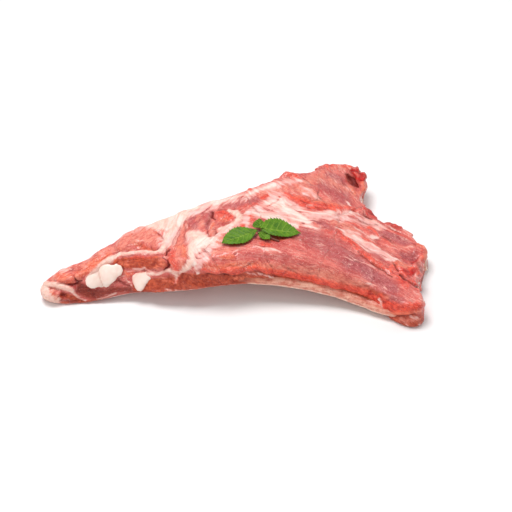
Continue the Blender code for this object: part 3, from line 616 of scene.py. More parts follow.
# The order in which tissues lie over plain muscle, and each one's deep and bright tone on the screen.
# The last is no tissue but painted shade for creases and crevices.
TONES = {
    "brown": ((162, 48, 26), (208, 88, 54)),
    "purple": ((154, 54, 58), (192, 94, 96)),
    "pale": ((218, 106, 88), (236, 142, 122)),
    "orange": ((216, 80, 50), (240, 126, 94)),
    "red": ((202, 34, 22), (244, 88, 62)),
    "blood": ((142, 0, 2), (202, 18, 12)),
    "silver": ((228, 156, 150), (250, 214, 208)),
    "fat": ((239, 180, 165), (251, 227, 217)),
    "cream": ((233, 182, 166), (246, 210, 196)),
    # Deep red meat, with painted shade where it lies in pockets, creases and low on the near walls.
    "maroon": ((106, 24, 15), (154, 56, 39)),
    # Painted shade in the creases and crevices between muscles.
    "crease_shade": ((84, 16, 12), (140, 42, 34)),
}
# How much of what lies under a stroke each tissue hides.
COVER = {
    "brown": 1.0,
    "purple": 0.65,
    "pale": 0.75,
    "orange": 0.8,
    "red": 0.85,
    "blood": 1.0,
    "silver": 0.75,
    "fat": 0.95,
    "cream": 1.0,
    "maroon": 0.85,
    "crease_shade": 0.9,
}
# The meat's other shades, on the screen. The two hollow ones are painted shade for hollows, the ridge one
# a painted highlight along ridges, and the glint one painted glints.
MEAT_SHADES = {
    "muscle_deep": (192, 72, 70),
    "muscle_bright": (226, 106, 94),
    "bundle": (234, 126, 112),
    "fibre": (242, 152, 138),
    "between_fibres": (164, 44, 42),
    "thin_film": (238, 156, 144),
    "marbling": (244, 186, 172),
    "thread": (240, 166, 154),
    "red_hollow_shade": (120, 22, 18),
    "fat_hollow_shade": (226, 130, 112),
    "ridge": (250, 160, 140),
    "glint": (255, 206, 194),
}
# How the meat's streaks are drawn out, along, across and down the grain, with their detail and roughness.
FIBRE_STREAKS = ((0.13, 0.8, 0.35), 4.0, 0.6)
BUNDLE_STREAKS = ((0.03, 0.2, 0.1), 4.0, 0.6)
SHEET_STREAKS = ((0.05, 0.42, 0.2), 3.0, 0.55)
# Its patches, mottling and specks: how many fit in a metre, and their detail and roughness.
PATCHES = (75.0, 3.0, 0.55)
MOTTLING = (300.0, 3.0, 0.6)
SPECKS = (950.0, 2.0, 0.55)
# Which way the grain runs in each part: a place in the same view, and degrees.
GRAIN = (
    (236, 256, -4),
    (295, 256, -22),
    (348, 274, -27),
    (389, 300, -30),
    (307, 227, -12),
    (365, 237, -26),
    (342, 183, -48),
    (295, 180, -30),
    (175, 225, 64),
    (201, 218, 40),
    (144, 238, 38),
    (124, 234, 30),
    (138, 254, 0),
    (140, 264, 2),
    (108, 262, 36),
    (86, 260, 30),
    (107, 279, 8),
    (201, 279, -50),
    (248, 279, -50),
)
UNDER_GRAIN = math.radians(35)
# How far a stroke's edge strays in the view: size of the wandering in millimetres, and pixels.
EDGE_SHIFTS = ((7, 1.0), (2.6, 0.5))
# Fat and muscle lie in the walls as layers drawn out along them, and membrane on the underside in patches.
LAYER_SIZE = 9
LAYER_STRETCH = (0.25, 0.25, 1.6)
MEMBRANE_PATCH = 16
# The relief of the muscle, in millimetres: lengths along, across and down the grain, then heights.
FIBRE_SIZE = (12, 2.1, 4)
BUNDLE_SIZE = (50, 6.5, 20)
FIBRE_RISE = 0.22
BUNDLE_RISE = 0.7
CREASE_DEPTH = 0.7
CREASE_SHARPNESS = 3.5
# The unevenness of all the meat, and of its wet red parts: size and height.
SWELLS = ((10, 0.8), (3.4, 0.32))
RED_LUMPS = (4.2, 0.9)
LOWEST_Z = 0.1
# Rounds of smoothing that tell how deep each point lies in a hollow, for the painted shade in hollows and
# the painted highlight on ridges.
HOLLOW_ROUNDS = 14


def run_along(line):
    """How far along a line each of its points lies."""
    gaps = np.linalg.norm(np.diff(line, axis=0), axis=1)
    return np.concatenate([[0], np.cumsum(gaps)])


def smooth_curve(points, count, closed=False):
    """Points a steady distance apart on a Catmull-Rom curve through the rows given."""
    rows = np.array(points, float)
    if closed:
        rows = np.vstack([rows[-1], rows, rows[0], rows[1]])
    else:
        rows = np.vstack([2 * rows[0] - rows[1], rows, 2 * rows[-1] - rows[-2]])
    steps = np.linspace(0, 1, CURVE_STEPS, endpoint=False)[:, None]
    dense = []
    for a, b, c, d in zip(rows, rows[1:], rows[2:], rows[3:]):
        bend = (2 * a - 5 * b + 4 * c - d) * steps**2 + (3 * b - a - 3 * c + d) * steps**3
        dense.append(0.5 * (2 * b + (c - a) * steps + bend))
    dense = np.vstack(dense + [rows[-2:-1]])
    run = run_along(dense[:, :2])
    places = np.linspace(0, run[-1], count, endpoint=not closed)
    return np.stack([np.interp(places, run, column) for column in dense.T], axis=1)


def arch(x, y):
    """Height of the underside, in millimetres; the arch ends sooner towards the far corner."""
    end = ARCH_END_X - ARCH_END_TURN * np.clip(y, 0, FARTHEST_Y)
    share = np.clip((x - ARCH_START_X) / (end - ARCH_START_X), 0, 1)
    return ARCH_RISE * np.sin(math.pi * share) ** ARCH_FULLNESS


def bump(x, y, cx, cy, half_length, half_width, turn, rise):
    """A soft mound, or a hollow where rise is negative."""
    c, s = math.cos(math.radians(turn)), math.sin(math.radians(turn))
    along = ((x - cx) * c + (y - cy) * s) / half_length
    across = ((y - cy) * c - (x - cx) * s) / half_width
    return rise * np.exp(-MOUND_STEEPNESS * np.hypot(along, across) ** 3)


def top_height(x, y):
    """Height of the meat's top surface, in millimetres."""
    height = arch(x, y) + np.interp(x, THICKNESS_X, THICKNESS_MM)
    for mound in RELIEF.values():
        height = height + bump(x, y, *mound)
    return height


def outline_rows():
    """The outline at even steps, each row with the point of the spine that its rings shrink to."""
    rows = smooth_curve(OUTLINE, PERIMETER_POINTS, closed=True)
    turn = int(np.argmax(rows[:, 0]))
    share = (rows[:, 0] - rows[0, 0]) / (rows[turn, 0] - rows[0, 0])
    share[: turn + 1] = np.maximum.accumulate(share[: turn + 1])
    share[turn:] = np.maximum.accumulate(share[turn:][::-1])[::-1]
    near = np.linspace(0, 1, turn + 1)
    even = np.concatenate([near, np.linspace(1, 0, len(rows) - turn + 1)[1:-1]])
    share = np.clip(SPINE_FOLLOWS_X * share + (1 - SPINE_FOLLOWS_X) * even, 0, 1)[:, None]
    start, end = np.array(SPINE_START), np.array(SPINE_END)
    return np.hstack([rows, start + share * (end - start)])


def wall_ring(rows, share):
    """A ring of the cut wall, from its foot at 0 to the edge of the top surface at 1."""
    edge, lean, roundness, spine = rows[:, :2], rows[:, 2:3], rows[:, 3:4], rows[:, 4:]
    inward = spine - edge
    inward = inward / np.linalg.norm(inward, axis=1, keepdims=True)
    quarter = 1 - math.sqrt(max(0.0, 1 - share**2))
    plan = edge + inward * lean * ((1 - roundness) * share + roundness * quarter)
    brim = edge + inward * lean
    low = arch(*edge.T) + FOOT_CHAMFER
    high = top_height(brim[:, 0], brim[:, 1])
    return np.column_stack([plan, low + (high - low) * share])


def disc_rings(rim, rows, shares, height):
    """Rings that fill the inside of rim, each a share of the way from the spine to it."""
    rings = []
    for share in shares:
        plan = rows[:, 4:] + (rim[:, :2] - rows[:, 4:]) * share
        rings.append(np.column_stack([plan, height(*plan.T)]))
    return rings


def loft(rings):
    """A closed mesh through rings of equal length, in the CAD's frame and in metres."""
    count, sides = len(rings), len(rings[0])
    points = np.vstack(rings)
    step = np.arange(sides)
    ahead = (step + 1) % sides
    faces = []
    for low in range(count - 1):
        a, b = low * sides, (low + 1) * sides
        faces += np.stack([a + step, a + ahead, b + ahead, b + step], axis=1).tolist()
    faces.append(step[::-1].tolist())
    faces.append((step + (count - 1) * sides).tolist())
    points = (points - (*ORIGIN, 0)) * MM
    mesh = bpy.data.meshes.new("loft")
    mesh.from_pydata(points.tolist(), [], faces)
    shell = bmesh.new()
    shell.from_mesh(mesh)
    bmesh.ops.triangulate(shell, faces=[face for face in shell.faces if len(face.verts) > 4])
    bmesh.ops.recalc_face_normals(shell, faces=shell.faces)
    shell.to_mesh(mesh)
    shell.free()
    return mesh


def round_rings(path, sides, count):
    """The rings of a round run along a path, whose rows are x, y, z and radius."""
    rows = smooth_curve(path, count)
    turn = np.linspace(0, 2 * math.pi, sides, endpoint=False)[:, None]
    rings = []
    for i, row in enumerate(rows):
        ahead = rows[min(i + 1, len(rows) - 1), :3] - rows[max(i - 1, 0), :3]
        along = Vector(ahead).normalized()
        wide = along.cross(Vector((0, 0, 1))).normalized()
        deep = wide.cross(along).normalized()
        across = np.array(wide) * row[3] * np.cos(turn)
        rings.append(row[:3] + across + np.array(deep) * row[3] * np.sin(turn))
    return rings


def finished_mesh(piece):
    """A plain mesh of the piece as its modifiers leave it."""
    graph = bpy.context.evaluated_depsgraph_get()
    return bpy.data.meshes.new_from_object(piece.evaluated_get(graph))


def fuse(name, meshes, voxel, smoothing=0):
    """One skin round several closed meshes, remeshed evenly."""
    made = new_object(name, bpy.data.meshes.new(name))
    joined = bmesh.new()
    for mesh in meshes:
        joined.from_mesh(mesh)
    joined.to_mesh(made.data)
    joined.free()
    skin = made.modifiers.new("skin", "REMESH")
    skin.mode = "VOXEL"
    skin.voxel_size = voxel
    if smoothing:
        calm = made.modifiers.new("calm", "SMOOTH")
        calm.factor = 0.5
        calm.iterations = smoothing
    mesh = finished_mesh(made)
    made.modifiers.clear()
    made.data = mesh
    mesh.name = name
    mesh.shade_smooth()
    return made


def points_and_normals(mesh):
    """The mesh's points and its normals as arrays, the points in millimetres."""
    count = len(mesh.vertices)
    points = np.empty(count * 3, np.float32)
    normals = np.empty(count * 3, np.float32)
    mesh.vertices.foreach_get("co", points)
    mesh.vertex_normals.foreach_get("vector", normals)
    return points.reshape(-1, 3) / MM, normals.reshape(-1, 3)


def move_points(mesh, points):
    """Puts the mesh's points where the array, in millimetres, says."""
    mesh.vertices.foreach_set("co", (points * MM).astype(np.float32).ravel())
    mesh.update()


def keep_attribute(mesh, name, values):
    """Stores one number, or one vector, for each point of the mesh."""
    kind, slot = ("FLOAT_VECTOR", "vector") if values.ndim == 2 else ("FLOAT", "value")
    layer = mesh.attributes.new(name, kind, "POINT")
    layer.data.foreach_set(slot, values.astype(np.float32).ravel())


def cloud(places, size, seed=0):
    """Smooth noise between -1 and 1, with features of the size given."""
    spots = places / size + 19.7 * seed
    cell = np.floor(spots).astype(np.int64)
    part = spots - cell
    part = part * part * (3 - 2 * part)
    total = np.zeros(len(places))
    for corner in itertools.product((0, 1), repeat=3):
        a, b, c = (cell + corner).T
        mix = (a * 374761393 + b * 668265263 + c * 974634777 + seed * 69069) & 0x7FFFFFFF
        mix = ((mix ^ (mix >> 13)) * 1274126177) & 0x7FFFFFFF
        share = np.prod(np.where(corner, part, 1 - part), axis=1)
        total += share * (((mix >> 8) & 0xFFFF) / 32767.5 - 1)
    return total


def smoothstep(value):
    """Eases a number from 0 to 1."""
    value = np.clip(value, 0, 1)
    return value * value * (3 - 2 * value)


def view_places(points):
    """Where the camera's view shows each point; the points are in millimetres."""
    rise, run = math.sin(CAMERA_DROP), math.cos(CAMERA_DROP)
    x, y, z = (points * MM - AIM).T
    scale = VIEW_SIDE * LENS_MM / SENSOR_MM / (CAMERA_REACH + y * run - z * rise)
    return np.column_stack([VIEW_SIDE / 2 + x * scale, VIEW_SIDE / 2 - (y * rise + z * run) * scale])


def hollows(mesh, points, normals, rounds):
    """How far each point lies below its smoothed surroundings; negative on a ridge."""
    pairs = np.empty(len(mesh.edges) * 2, np.int32)
    mesh.edges.foreach_get("vertices", pairs)
    a, b = pairs.reshape(-1, 2).T
    count = len(points)
    links = np.bincount(pairs, minlength=count)[:, None]
    calm = points
    for _ in range(rounds):
        sums = [np.bincount(a, axis[b], count) + np.bincount(b, axis[a], count) for axis in calm.T]
        calm = 0.5 * calm + 0.5 * np.stack(sums, axis=1) / links
    return ((calm - points) * normals).sum(axis=1)


def stroke_weight(spots, softness, line):
    """How much each spot lies in a stroke: 1 inside it and 0 outside."""
    reach = np.full(len(spots), 1e3)
    ends = line[1:] if len(line) > 1 else line
    for (x0, y0, r0), (x1, y1, r1) in zip(line, ends):
        run = np.array((x1 - x0, y1 - y0))
        share = np.clip(((spots - (x0, y0)) @ run) / max(run @ run, 1e-6), 0, 1)
        gap = np.hypot(*(spots - (x0, y0) - share[:, None] * run).T) - (r0 + (r1 - r0) * share)
        reach = np.minimum(reach, gap)
    return smoothstep(0.5 - reach / softness)


def ragged_edges(points):
    """A small shift in the view, in its pixels, that keeps the strokes' edges ragged."""
    (broad_size, broad), (fine_size, fine) = EDGE_SHIFTS
    right = broad * cloud(points, broad_size, 1) + fine * cloud(points, fine_size, 3)
    down = broad * cloud(points, broad_size, 2) + fine * cloud(points, fine_size, 4)
    return np.column_stack([right, down])


def plain_layers(points, normals, under):
    """The tissue that shows where no stroke lies: membrane below, and layers in the walls."""
    shares = {name: np.zeros(len(points)) for name in TONES}
    near_wall = smoothstep((-normals[:, 1] - 0.15) * 2.5)
    side = smoothstep(1.4 - abs(normals[:, 2]) * 2.2) * (1 - near_wall)
    wide_end = smoothstep((normals[:, 0] - 0.2) * 3)
    layers = cloud(points * LAYER_STRETCH, LAYER_SIZE, 5)
    shares["silver"] += under * smoothstep(0.62 + 0.5 * cloud(points, MEMBRANE_PATCH, 6))
    shares["brown"] += under * (1 - shares["silver"]) * 0.7
    shares["fat"] += side * smoothstep(layers * 2.2 + 0.2 - 0.5 * wide_end) * (1 - under)
    shares["red"] += side * (1 - shares["fat"]) * (0.5 + 0.3 * wide_end) * (1 - under)
    shares["brown"] += near_wall * smoothstep(1.6 - normals[:, 2] * 4) * 0.85 * (1 - under)
    return shares


def lay_strokes(spots, facing, shares):
    """Lays the strokes over the plain layers; the result is how far they raise each point."""
    rise = np.zeros(len(spots))
    for kind, lift, softness, line in itertools.chain(*TISSUE.values()):
        stops = np.array(line, float)
        widest = stops[:, 2].max()
        margin = widest + softness * 2
        low, high = stops[:, :2].min(axis=0) - margin, stops[:, :2].max(axis=0) + margin
        near = np.flatnonzero(np.all((spots > low) & (spots < high), axis=1) & (facing > 0))
        fade = softness * (1 if kind == "crease_shade" else 2)
        weight = stroke_weight(spots[near], fade, line) * facing[near]
        cover = weight * COVER[kind] * min(1.0, 0.25 + 0.3 * widest)
        for name in shares:
            shares[name][near] *= 1 - cover
        shares[kind][near] += cover
        rise[near] += lift * weight
    return rise


def muscle_relief(points, along, across, soft):
    """The height of fibres, bundles and the creases between them; fat and silver skin lie calmer."""
    run = np.column_stack([along, across, points[:, 2]])
    fibre = cloud(run / FIBRE_SIZE, 1, 7)
    bundle = cloud(run / BUNDLE_SIZE, 1, 10)
    crease = np.clip(1 - abs(bundle) * CREASE_SHARPNESS, 0, 1) ** 2
    return (FIBRE_RISE * fibre + BUNDLE_RISE * bundle - CREASE_DEPTH * crease) * (1 - 0.75 * soft)


def paint_tissue(mesh):
    """Raises the strokes and stores each point's tissues, painted crease shade included, and hollow depth.
    """
    points, normals = points_and_normals(mesh)
    facing = smoothstep(normals @ (0, -math.cos(CAMERA_DROP), math.sin(CAMERA_DROP)) * 4 + 1.3)
    under = smoothstep(-normals[:, 2] * 3 - 0.6)
    spots = view_places(points) + ragged_edges(points)
    shares = plain_layers(points, normals, under)
    rise = lay_strokes(spots, facing, shares)
    soft = np.clip(shares["fat"] + shares["silver"] + shares["cream"], 0, 1)
    along, across = grain_run(spots)
    lower = under > 0.3
    along[lower] = points[lower] @ (math.cos(UNDER_GRAIN), math.sin(UNDER_GRAIN), 0)
    across[lower] = points[lower] @ (-math.sin(UNDER_GRAIN), math.cos(UNDER_GRAIN), 0)
    for seed, (size, height) in enumerate(SWELLS, start=8):
        rise += height * cloud(points, size, seed)
    rise += muscle_relief(points, along, across, soft)
    size, height = RED_LUMPS
    rise += height * (shares["red"] + shares["blood"]) * cloud(points, size, 13) * facing
    points = points + normals * (rise * (1 - 0.6 * under))[:, None]
    points[:, 2] = np.maximum(points[:, 2], LOWEST_Z)
    move_points(mesh, points)
    _, normals = points_and_normals(mesh)
    keep_attribute(mesh, "hollow", hollows(mesh, points, normals, HOLLOW_ROUNDS))
    below = 1 - np.clip(sum(shares.values()), 0, 1)
    for name in TONES:
        below = below + shares[name]
        keep_attribute(mesh, name, shares[name] / np.maximum(below, 1e-4))
    keep_attribute(mesh, "grain", np.column_stack([along, across, points[:, 2]]))


def grain_run(spots):
    """Distance along and across the grain of the muscle nearest to each spot, in millimetres."""
    anchors = np.array(GRAIN, float)
    nearest = np.argmin(np.hypot(*(spots[:, None] - anchors[None, :, :2]).transpose(2, 0, 1)), axis=1)
    turn = np.radians(anchors[nearest, 2])
    x, y = spots[:, 0] * VIEW_MM, -spots[:, 1] * VIEW_MM
    return x * np.cos(turn) + y * np.sin(turn), y * np.cos(turn) - x * np.sin(turn)


def slab_meshes():
    """The slab and the folds on its edges, each a closed mesh."""
    rows = outline_rows()
    foot = wall_ring(rows, 0.0)
    reach = rows[:, 4:] - foot[:, :2]
    sole = foot[:, :2] + reach * FOOT_CHAMFER / np.linalg.norm(reach, axis=1, keepdims=True)
    under = disc_rings(sole, rows, np.linspace(INNERMOST_SHARE, 1, SOLE_RINGS), arch)
    walls = [wall_ring(rows, share) for share in np.sin(np.linspace(0, WALL_ARC_END, WALL_RINGS))]
    inward = np.linspace(1, TOP_INNERMOST_SHARE, TOP_RINGS)
    top = disc_rings(wall_ring(rows, 1.0), rows, inward, top_height)
    made = [loft(under + walls + top)]
    for path in LUMPS.values():
        raised = [(x, y, float(top_height(x, y)) + lift, radius) for x, y, lift, radius in path]
        made.append(loft(round_rings(raised, LUMP_SIDES, LUMP_RINGS)))
    return made


def linear(red, green, blue):
    """A colour given in 0 to 255 screen values, as the shader wants it."""
    shares = [value / 255 for value in (red, green, blue)]
    return (*[s / 12.92 if s <= 0.04045 else ((s + 0.055) / 1.055) ** 2.4 for s in shares], 1.0)


def add_node(tree, kind, values=None, **settings):
    """A shader or geometry node; values go to its inputs by name or number, or link from a socket."""
    made = tree.nodes.new(kind)
    for name, value in settings.items():
        setattr(made, name, value)
    for name, value in (values or {}).items():
        if isinstance(value, bpy.types.NodeSocket):
            tree.links.new(value, made.inputs[name])
        else:
            made.inputs[name].default_value = value
    return made


def painted(tree, name, kind="Fac"):
    """A number, or a vector, that the mesh's points hold."""
    return add_node(tree, "ShaderNodeAttribute", attribute_name=name).outputs[kind]


def grow_noise(tree, place, scale, detail, rough):
    """A noise texture's value at a place."""
    sockets = {"Vector": place, "Scale": scale, "Detail": detail, "Roughness": rough}
    return add_node(tree, "ShaderNodeTexNoise", sockets).outputs["Fac"]


def grain_group():
    """The streaks of muscle and bone: a noise drawn out along their run."""
    group = bpy.data.node_groups.new("drawn_out_grain", "ShaderNodeTree")
    for name in ("Run", "Stretch"):
        group.interface.new_socket(name, in_out="INPUT", socket_type="NodeSocketVector")
    for name in ("Detail", "Roughness"):
        group.interface.new_socket(name, in_out="INPUT", socket_type="NodeSocketFloat")
    group.interface.new_socket("Value", in_out="OUTPUT", socket_type="NodeSocketFloat")
    given = add_node(group, "NodeGroupInput").outputs
    drawn = add_node(group, "ShaderNodeMapping", {"Vector": given["Run"], "Scale": given["Stretch"]})
    streaks = grow_noise(group, drawn.outputs["Vector"], 1.0, given["Detail"], given["Roughness"])
    add_node(group, "NodeGroupOutput", {"Value": streaks})
    return group


GRAIN_GROUP = grain_group()


def draw_grain(tree, run, stretch, detail, rough):
    """Places the drawn-out grain in a material."""
    sockets = {"Run": run, "Stretch": stretch, "Detail": detail, "Roughness": rough}
    return add_node(tree, "ShaderNodeGroup", sockets, node_tree=GRAIN_GROUP).outputs["Value"]


def remap(tree, value, low, high, to_low=0.0, to_high=1.0):
    """Stretches low to high onto another range, clamped."""
    sockets = {"Value": value, "From Min": low, "From Max": high, "To Min": to_low, "To Max": to_high}
    return add_node(tree, "ShaderNodeMapRange", sockets).outputs["Result"]


def calculate(tree, operation, first, *others):
    """One operation on all the values, from left to right."""
    for other in others:
        first = add_node(tree, "ShaderNodeMath", {0: first, 1: other}, operation=operation).outputs[0]
    return first


def weigh(tree, *pairs):
    """The sum of several values, each times its weight."""
    return calculate(tree, "ADD", *[calculate(tree, "MULTIPLY", value, weight) for value, weight in pairs])


def blend_colours(tree, share, first, second):
    """Mixes two colours, each a screen colour or a socket."""
    made = add_node(tree, "ShaderNodeMix", data_type="RGBA")
    for place, value in ((0, share), (6, first), (7, second)):
        if isinstance(value, bpy.types.NodeSocket):
            tree.links.new(value, made.inputs[place])
        else:
            made.inputs[place].default_value = linear(*value)
    return made.outputs[2]


def tint(tree, colour, shade, mask, low, high, most=1.0):
    """Mixes a shade into a colour as the mask goes from low to high, up to a share."""
    return blend_colours(tree, remap(tree, mask, low, high, 0.0, most), colour, shade)


def raise_surface(tree, shader, height, strength, distance):
    """Bumps the surface by a height; distance is in metres."""
    sockets = {"Strength": strength, "Distance": distance, "Height": height}
    ridges = add_node(tree, "ShaderNodeBump", sockets)
    tree.links.new(ridges.outputs["Normal"], shader.inputs["Normal"])


def muscle_colour(tree, fibre, bundle, patch):
    """Bare muscle: lighter along its bundles and fibres and deeper between them."""
    shades = MEAT_SHADES
    colour = tint(tree, shades["muscle_deep"], shades["muscle_bright"], patch, 0.32, 0.68)
    colour = tint(tree, colour, shades["bundle"], bundle, 0.5, 0.72, 0.45)
    colour = tint(tree, colour, shades["fibre"], fibre, 0.5, 0.66, 0.6)
    return tint(tree, colour, shades["between_fibres"], fibre, 0.45, 0.3, 0.5)


def marbling_mask(tree, bundle, mottle, patch, cut_side):
    """Thin winding seams of fat between the bundles, fewer on the cut side."""
    strand = calculate(tree, "ABSOLUTE", calculate(tree, "SUBTRACT", bundle, 0.5), 0.0)
    strand = calculate(tree, "ADD", strand, calculate(tree, "MULTIPLY", mottle, 0.05))
    sparse = calculate(tree, "SUBTRACT", patch, calculate(tree, "MULTIPLY", cut_side, 0.3))
    sparse = calculate(tree, "MULTIPLY", remap(tree, sparse, 0.48, 0.6), 0.75)
    return calculate(tree, "MULTIPLY", remap(tree, strand, 0.042, 0.028), sparse)


def tissue_colours(tree, colour, fibre, sheet, mottle, marbling):
    """Lays the painted tissues and crease shade over bare muscle, each with a torn edge and two tones."""
    ragged = calculate(tree, "SUBTRACT", weigh(tree, (fibre, 1.3), (mottle, 0.6)), 0.95)
    broken = remap(tree, sheet, 0.3, 0.7, -0.65, 0.5)
    tone = weigh(tree, (fibre, 0.5), (mottle, 0.5))
    streak = weigh(tree, (sheet, 0.6), (tone, 0.4))
    masks = {}
    for name, (deep, bright) in TONES.items():
        share = painted(tree, name)
        edge = calculate(tree, "MULTIPLY", share, calculate(tree, "SUBTRACT", 1.0, share), 4.0)
        if name in ("fat", "silver"):
            torn = calculate(tree, "ADD", share, calculate(tree, "MULTIPLY", broken, edge))
            colour = tint(tree, colour, MEAT_SHADES["thin_film"], torn, 0.02, 0.5, 0.85)
            masks[name] = remap(tree, torn, 0.26, 1.0)
            tones = tint(tree, deep, bright, streak, 0.36, 0.56)
        else:
            torn = calculate(tree, "ADD", share, calculate(tree, "MULTIPLY", ragged, edge))
            masks[name] = remap(tree, torn, 0.1, 0.9)
            tones = tint(tree, deep, bright, tone, 0.41, 0.58)
        colour = blend_colours(tree, masks[name], colour, tones)
        if name == "red":
            colour = blend_colours(tree, marbling, colour, MEAT_SHADES["marbling"])
    return colour, masks


def raw_meat():
    """Wet raw muscle with its fat: tones from the painted tissues, streaked along the grain. Shade in its
    hollows, light on its ridges and wet glints are painted into the colour.
    """
    made, tree, shader = new_material(
        "raw_meat_wet",
        Subsurface_Weight=0.12,
        Subsurface_Scale=0.003,
        Subsurface_Radius=(1.0, 0.3, 0.2),
        Coat_Roughness=0.1,
        Specular_IOR_Level=0.3,
    )
    place = add_node(tree, "ShaderNodeTexCoord").outputs["Object"]
    grain = painted(tree, "grain", "Vector")
    hollow = painted(tree, "hollow")
    cut_side = painted(tree, "brown")
    fibre = draw_grain(tree, grain, *FIBRE_STREAKS)
    bundle = draw_grain(tree, grain, *BUNDLE_STREAKS)
    sheet = draw_grain(tree, grain, *SHEET_STREAKS)
    patch = grow_noise(tree, place, *PATCHES)
    mottle = grow_noise(tree, place, *MOTTLING)
    speck = grow_noise(tree, place, *SPECKS)
    colour = muscle_colour(tree, fibre, bundle, patch)
    marbling = marbling_mask(tree, bundle, mottle, patch, cut_side)
    colour, masks = tissue_colours(tree, colour, fibre, sheet, mottle, marbling)
    threads = calculate(tree, "ADD", sheet, calculate(tree, "MULTIPLY", cut_side, -0.3))
    threads = remap(tree, threads, 0.58, 0.7)
    threads = calculate(tree, "MULTIPLY", threads, remap(tree, patch, 0.42, 0.58, 0.0, 0.6))
    colour = blend_colours(tree, threads, colour, MEAT_SHADES["thread"])
    soft = calculate(tree, "MAXIMUM", masks["fat"], masks["silver"], masks["cream"])
    # Painted shade: hollows turn deep red, or dull pink under fat; then ridges take a painted highlight.
    hollow_shade = blend_colours(tree, soft, MEAT_SHADES["red_hollow_shade"], MEAT_SHADES["fat_hollow_shade"])
    colour = tint(tree, colour, hollow_shade, hollow, 0.12, 0.8, 0.75)
    colour = tint(tree, colour, MEAT_SHADES["ridge"], hollow, -0.15, -0.8, 0.14)
    matte = calculate(tree, "MAXIMUM", masks["brown"], masks["maroon"], masks["blood"])
    matte = calculate(tree, "MULTIPLY", matte, 0.7)
    shade = calculate(tree, "MAXIMUM", masks["crease_shade"], remap(tree, hollow, 0.3, 1.0), matte)
    open_side = calculate(tree, "SUBTRACT", 1.0, shade)
    # Painted glints: bright specks mixed into the colour where no shade lies.
    glint = calculate(tree, "MULTIPLY", remap(tree, speck, 0.57, 0.7, 0.0, 0.42), open_side)
    colour = blend_colours(tree, glint, colour, MEAT_SHADES["glint"])
    dull = calculate(tree, "MAXIMUM", soft, calculate(tree, "MULTIPLY", shade, 2.0))
    wet = remap(tree, soft, 0.0, 1.0, 0.5, 0.2)
    wet = calculate(tree, "MULTIPLY", wet, remap(tree, patch, 0.35, 0.6, 0.4, 1.0), open_side)
    strands = calculate(tree, "MULTIPLY", fibre, remap(tree, soft, 0.0, 1.0, 1.0, 0.3))
    height = calculate(tree, "ADD", strands, weigh(tree, (speck, 0.35), (mottle, 0.6)))
    tree.links.new(colour, shader.inputs["Base Color"])
    tree.links.new(remap(tree, dull, 0.0, 2.0, 0.38, 0.62), shader.inputs["Roughness"])
    tree.links.new(wet, shader.inputs["Coat Weight"])
    raise_surface(tree, shader, height, 0.7, 0.0013)
    return made


slab = fuse("slab", slab_meshes(), SLAB_VOXEL)
paint_tissue(slab.data)
slab.data.materials.append(raw_meat())
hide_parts("meat")
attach(slab, "root")

# Rib bones: five curved flat bones that run from the backbone end towards the breastbone end. Smooth pale
# cartilage knobs end the two nearest ones, flush with the slanted knife cut. Flesh covers the rest, but
# for the outer side of the first rib and the inner faces, which a thin membrane holds.
RIB_FLATNESS = 0.86
# Each rib's middle line: x, y, height over the arch, and half width.
RIBS = {
    "rib_1": (
        (-84, -66, 12, 5),
        (-78, -50, 12, 5),
        (-62, -50, 9, 6),
        (-38, -54, 7, 6.5),
        (-5, -56.5, 4.5, 6),
        (42, -58, 3.5, 6),
        (77, -61.5, 3.5, 6),
        (103, -69, 4, 6),
        (124, -78, 6, 6),
        (150, -85, 8.5, 6),
    ),
    "rib_2": (
        (-110, -63, 16, 7),
        (-108, -44, 16, 8),
        (-95, -37, 11, 9),
        (-62, -32, 6, 7),
        (0, -28, 3.5, 6.5),
        (60, -30, 3.5, 6.5),
        (118, -43, 6, 6.5),
        (162, -57, 9, 6.5),
    ),
    "rib_3": (
        (-88, -20, 10, 5),
        (-74, -15, 7, 6.5),
        (-45, -4, 4, 6.5),
        (5, 5, 3.5, 6.5),
        (60, 4, 3.5, 6.5),
        (120, -8, 5, 6.5),
        (148, -16, 5, 6.5),
        (170, -22, 7.5, 6.5),
    ),
    "rib_4": (
        (-18, 12, 9, 5),
        (-5, 19, 6, 6.5),
        (18, 31, 3.5, 6.5),
        (50, 39, 3.5, 6.5),
        (92, 35, 6, 6.5),
        (122, 31, 9, 6.5),
    ),
    "rib_5": (
        (40, 55, 9, 5),
        (50, 61, 6, 6),
        (66, 67, 4.5, 6),
        (92, 69, 6, 6),
        (123, 67, 9, 6),
    ),
}
# Which ends of a rib are cut, as the first or last row of its line, and how far they stand proud.
RIB_CUTS = {"rib_1": (0,), "rib_2": (0, -1), "rib_3": (-1,), "rib_4": (-1,), "rib_5": (-1,)}
RIB_PROUD = 0.8
# Marrow shows from this far below the cut plane on, and fades in over so many millimetres.
SAWN_DEPTH = 1.0
SAWN_FADE = 1.4
# Two shares of the wall's height, and a number of points to each side, between which its slope is read.
WALL_LOW = 0.22
WALL_HIGH = 0.68
WALL_BESIDE = 4
SHAFT_SIDES = 32
SHAFT_RINGS = 90
RULER_POINTS = 120
RIB_VOXEL = 0.95 * MM
RIB_SMOOTHING = 10
# The bone's unevenness: size and height.
BONE_SWELLS = ((8, 0.3), (2.4, 0.12))
# The knobs of cartilage as rows of flattened balls: x, y, height and radius, in millimetres.
KNOBS = {
    "rib_1": (
        (-79.4, -60.6, 16.8, 5.0),
        (-79.0, -59.2, 19.6, 6.2),
        (-77.0, -58.0, 22.6, 6.2),
        (-72.0, -57.8, 25.8, 4.6),
        (-67.0, -59.2, 27.6, 2.8),
    ),
    "rib_2": (
        (-118.6, -56.4, 18.6, 6.8),
        (-114.0, -55.0, 20.0, 7.0),
        (-106.6, -53.0, 23.4, 9.0),
        (-98.6, -51.8, 26.6, 6.0),
    ),
}
KNOB_FLATNESS = 0.24
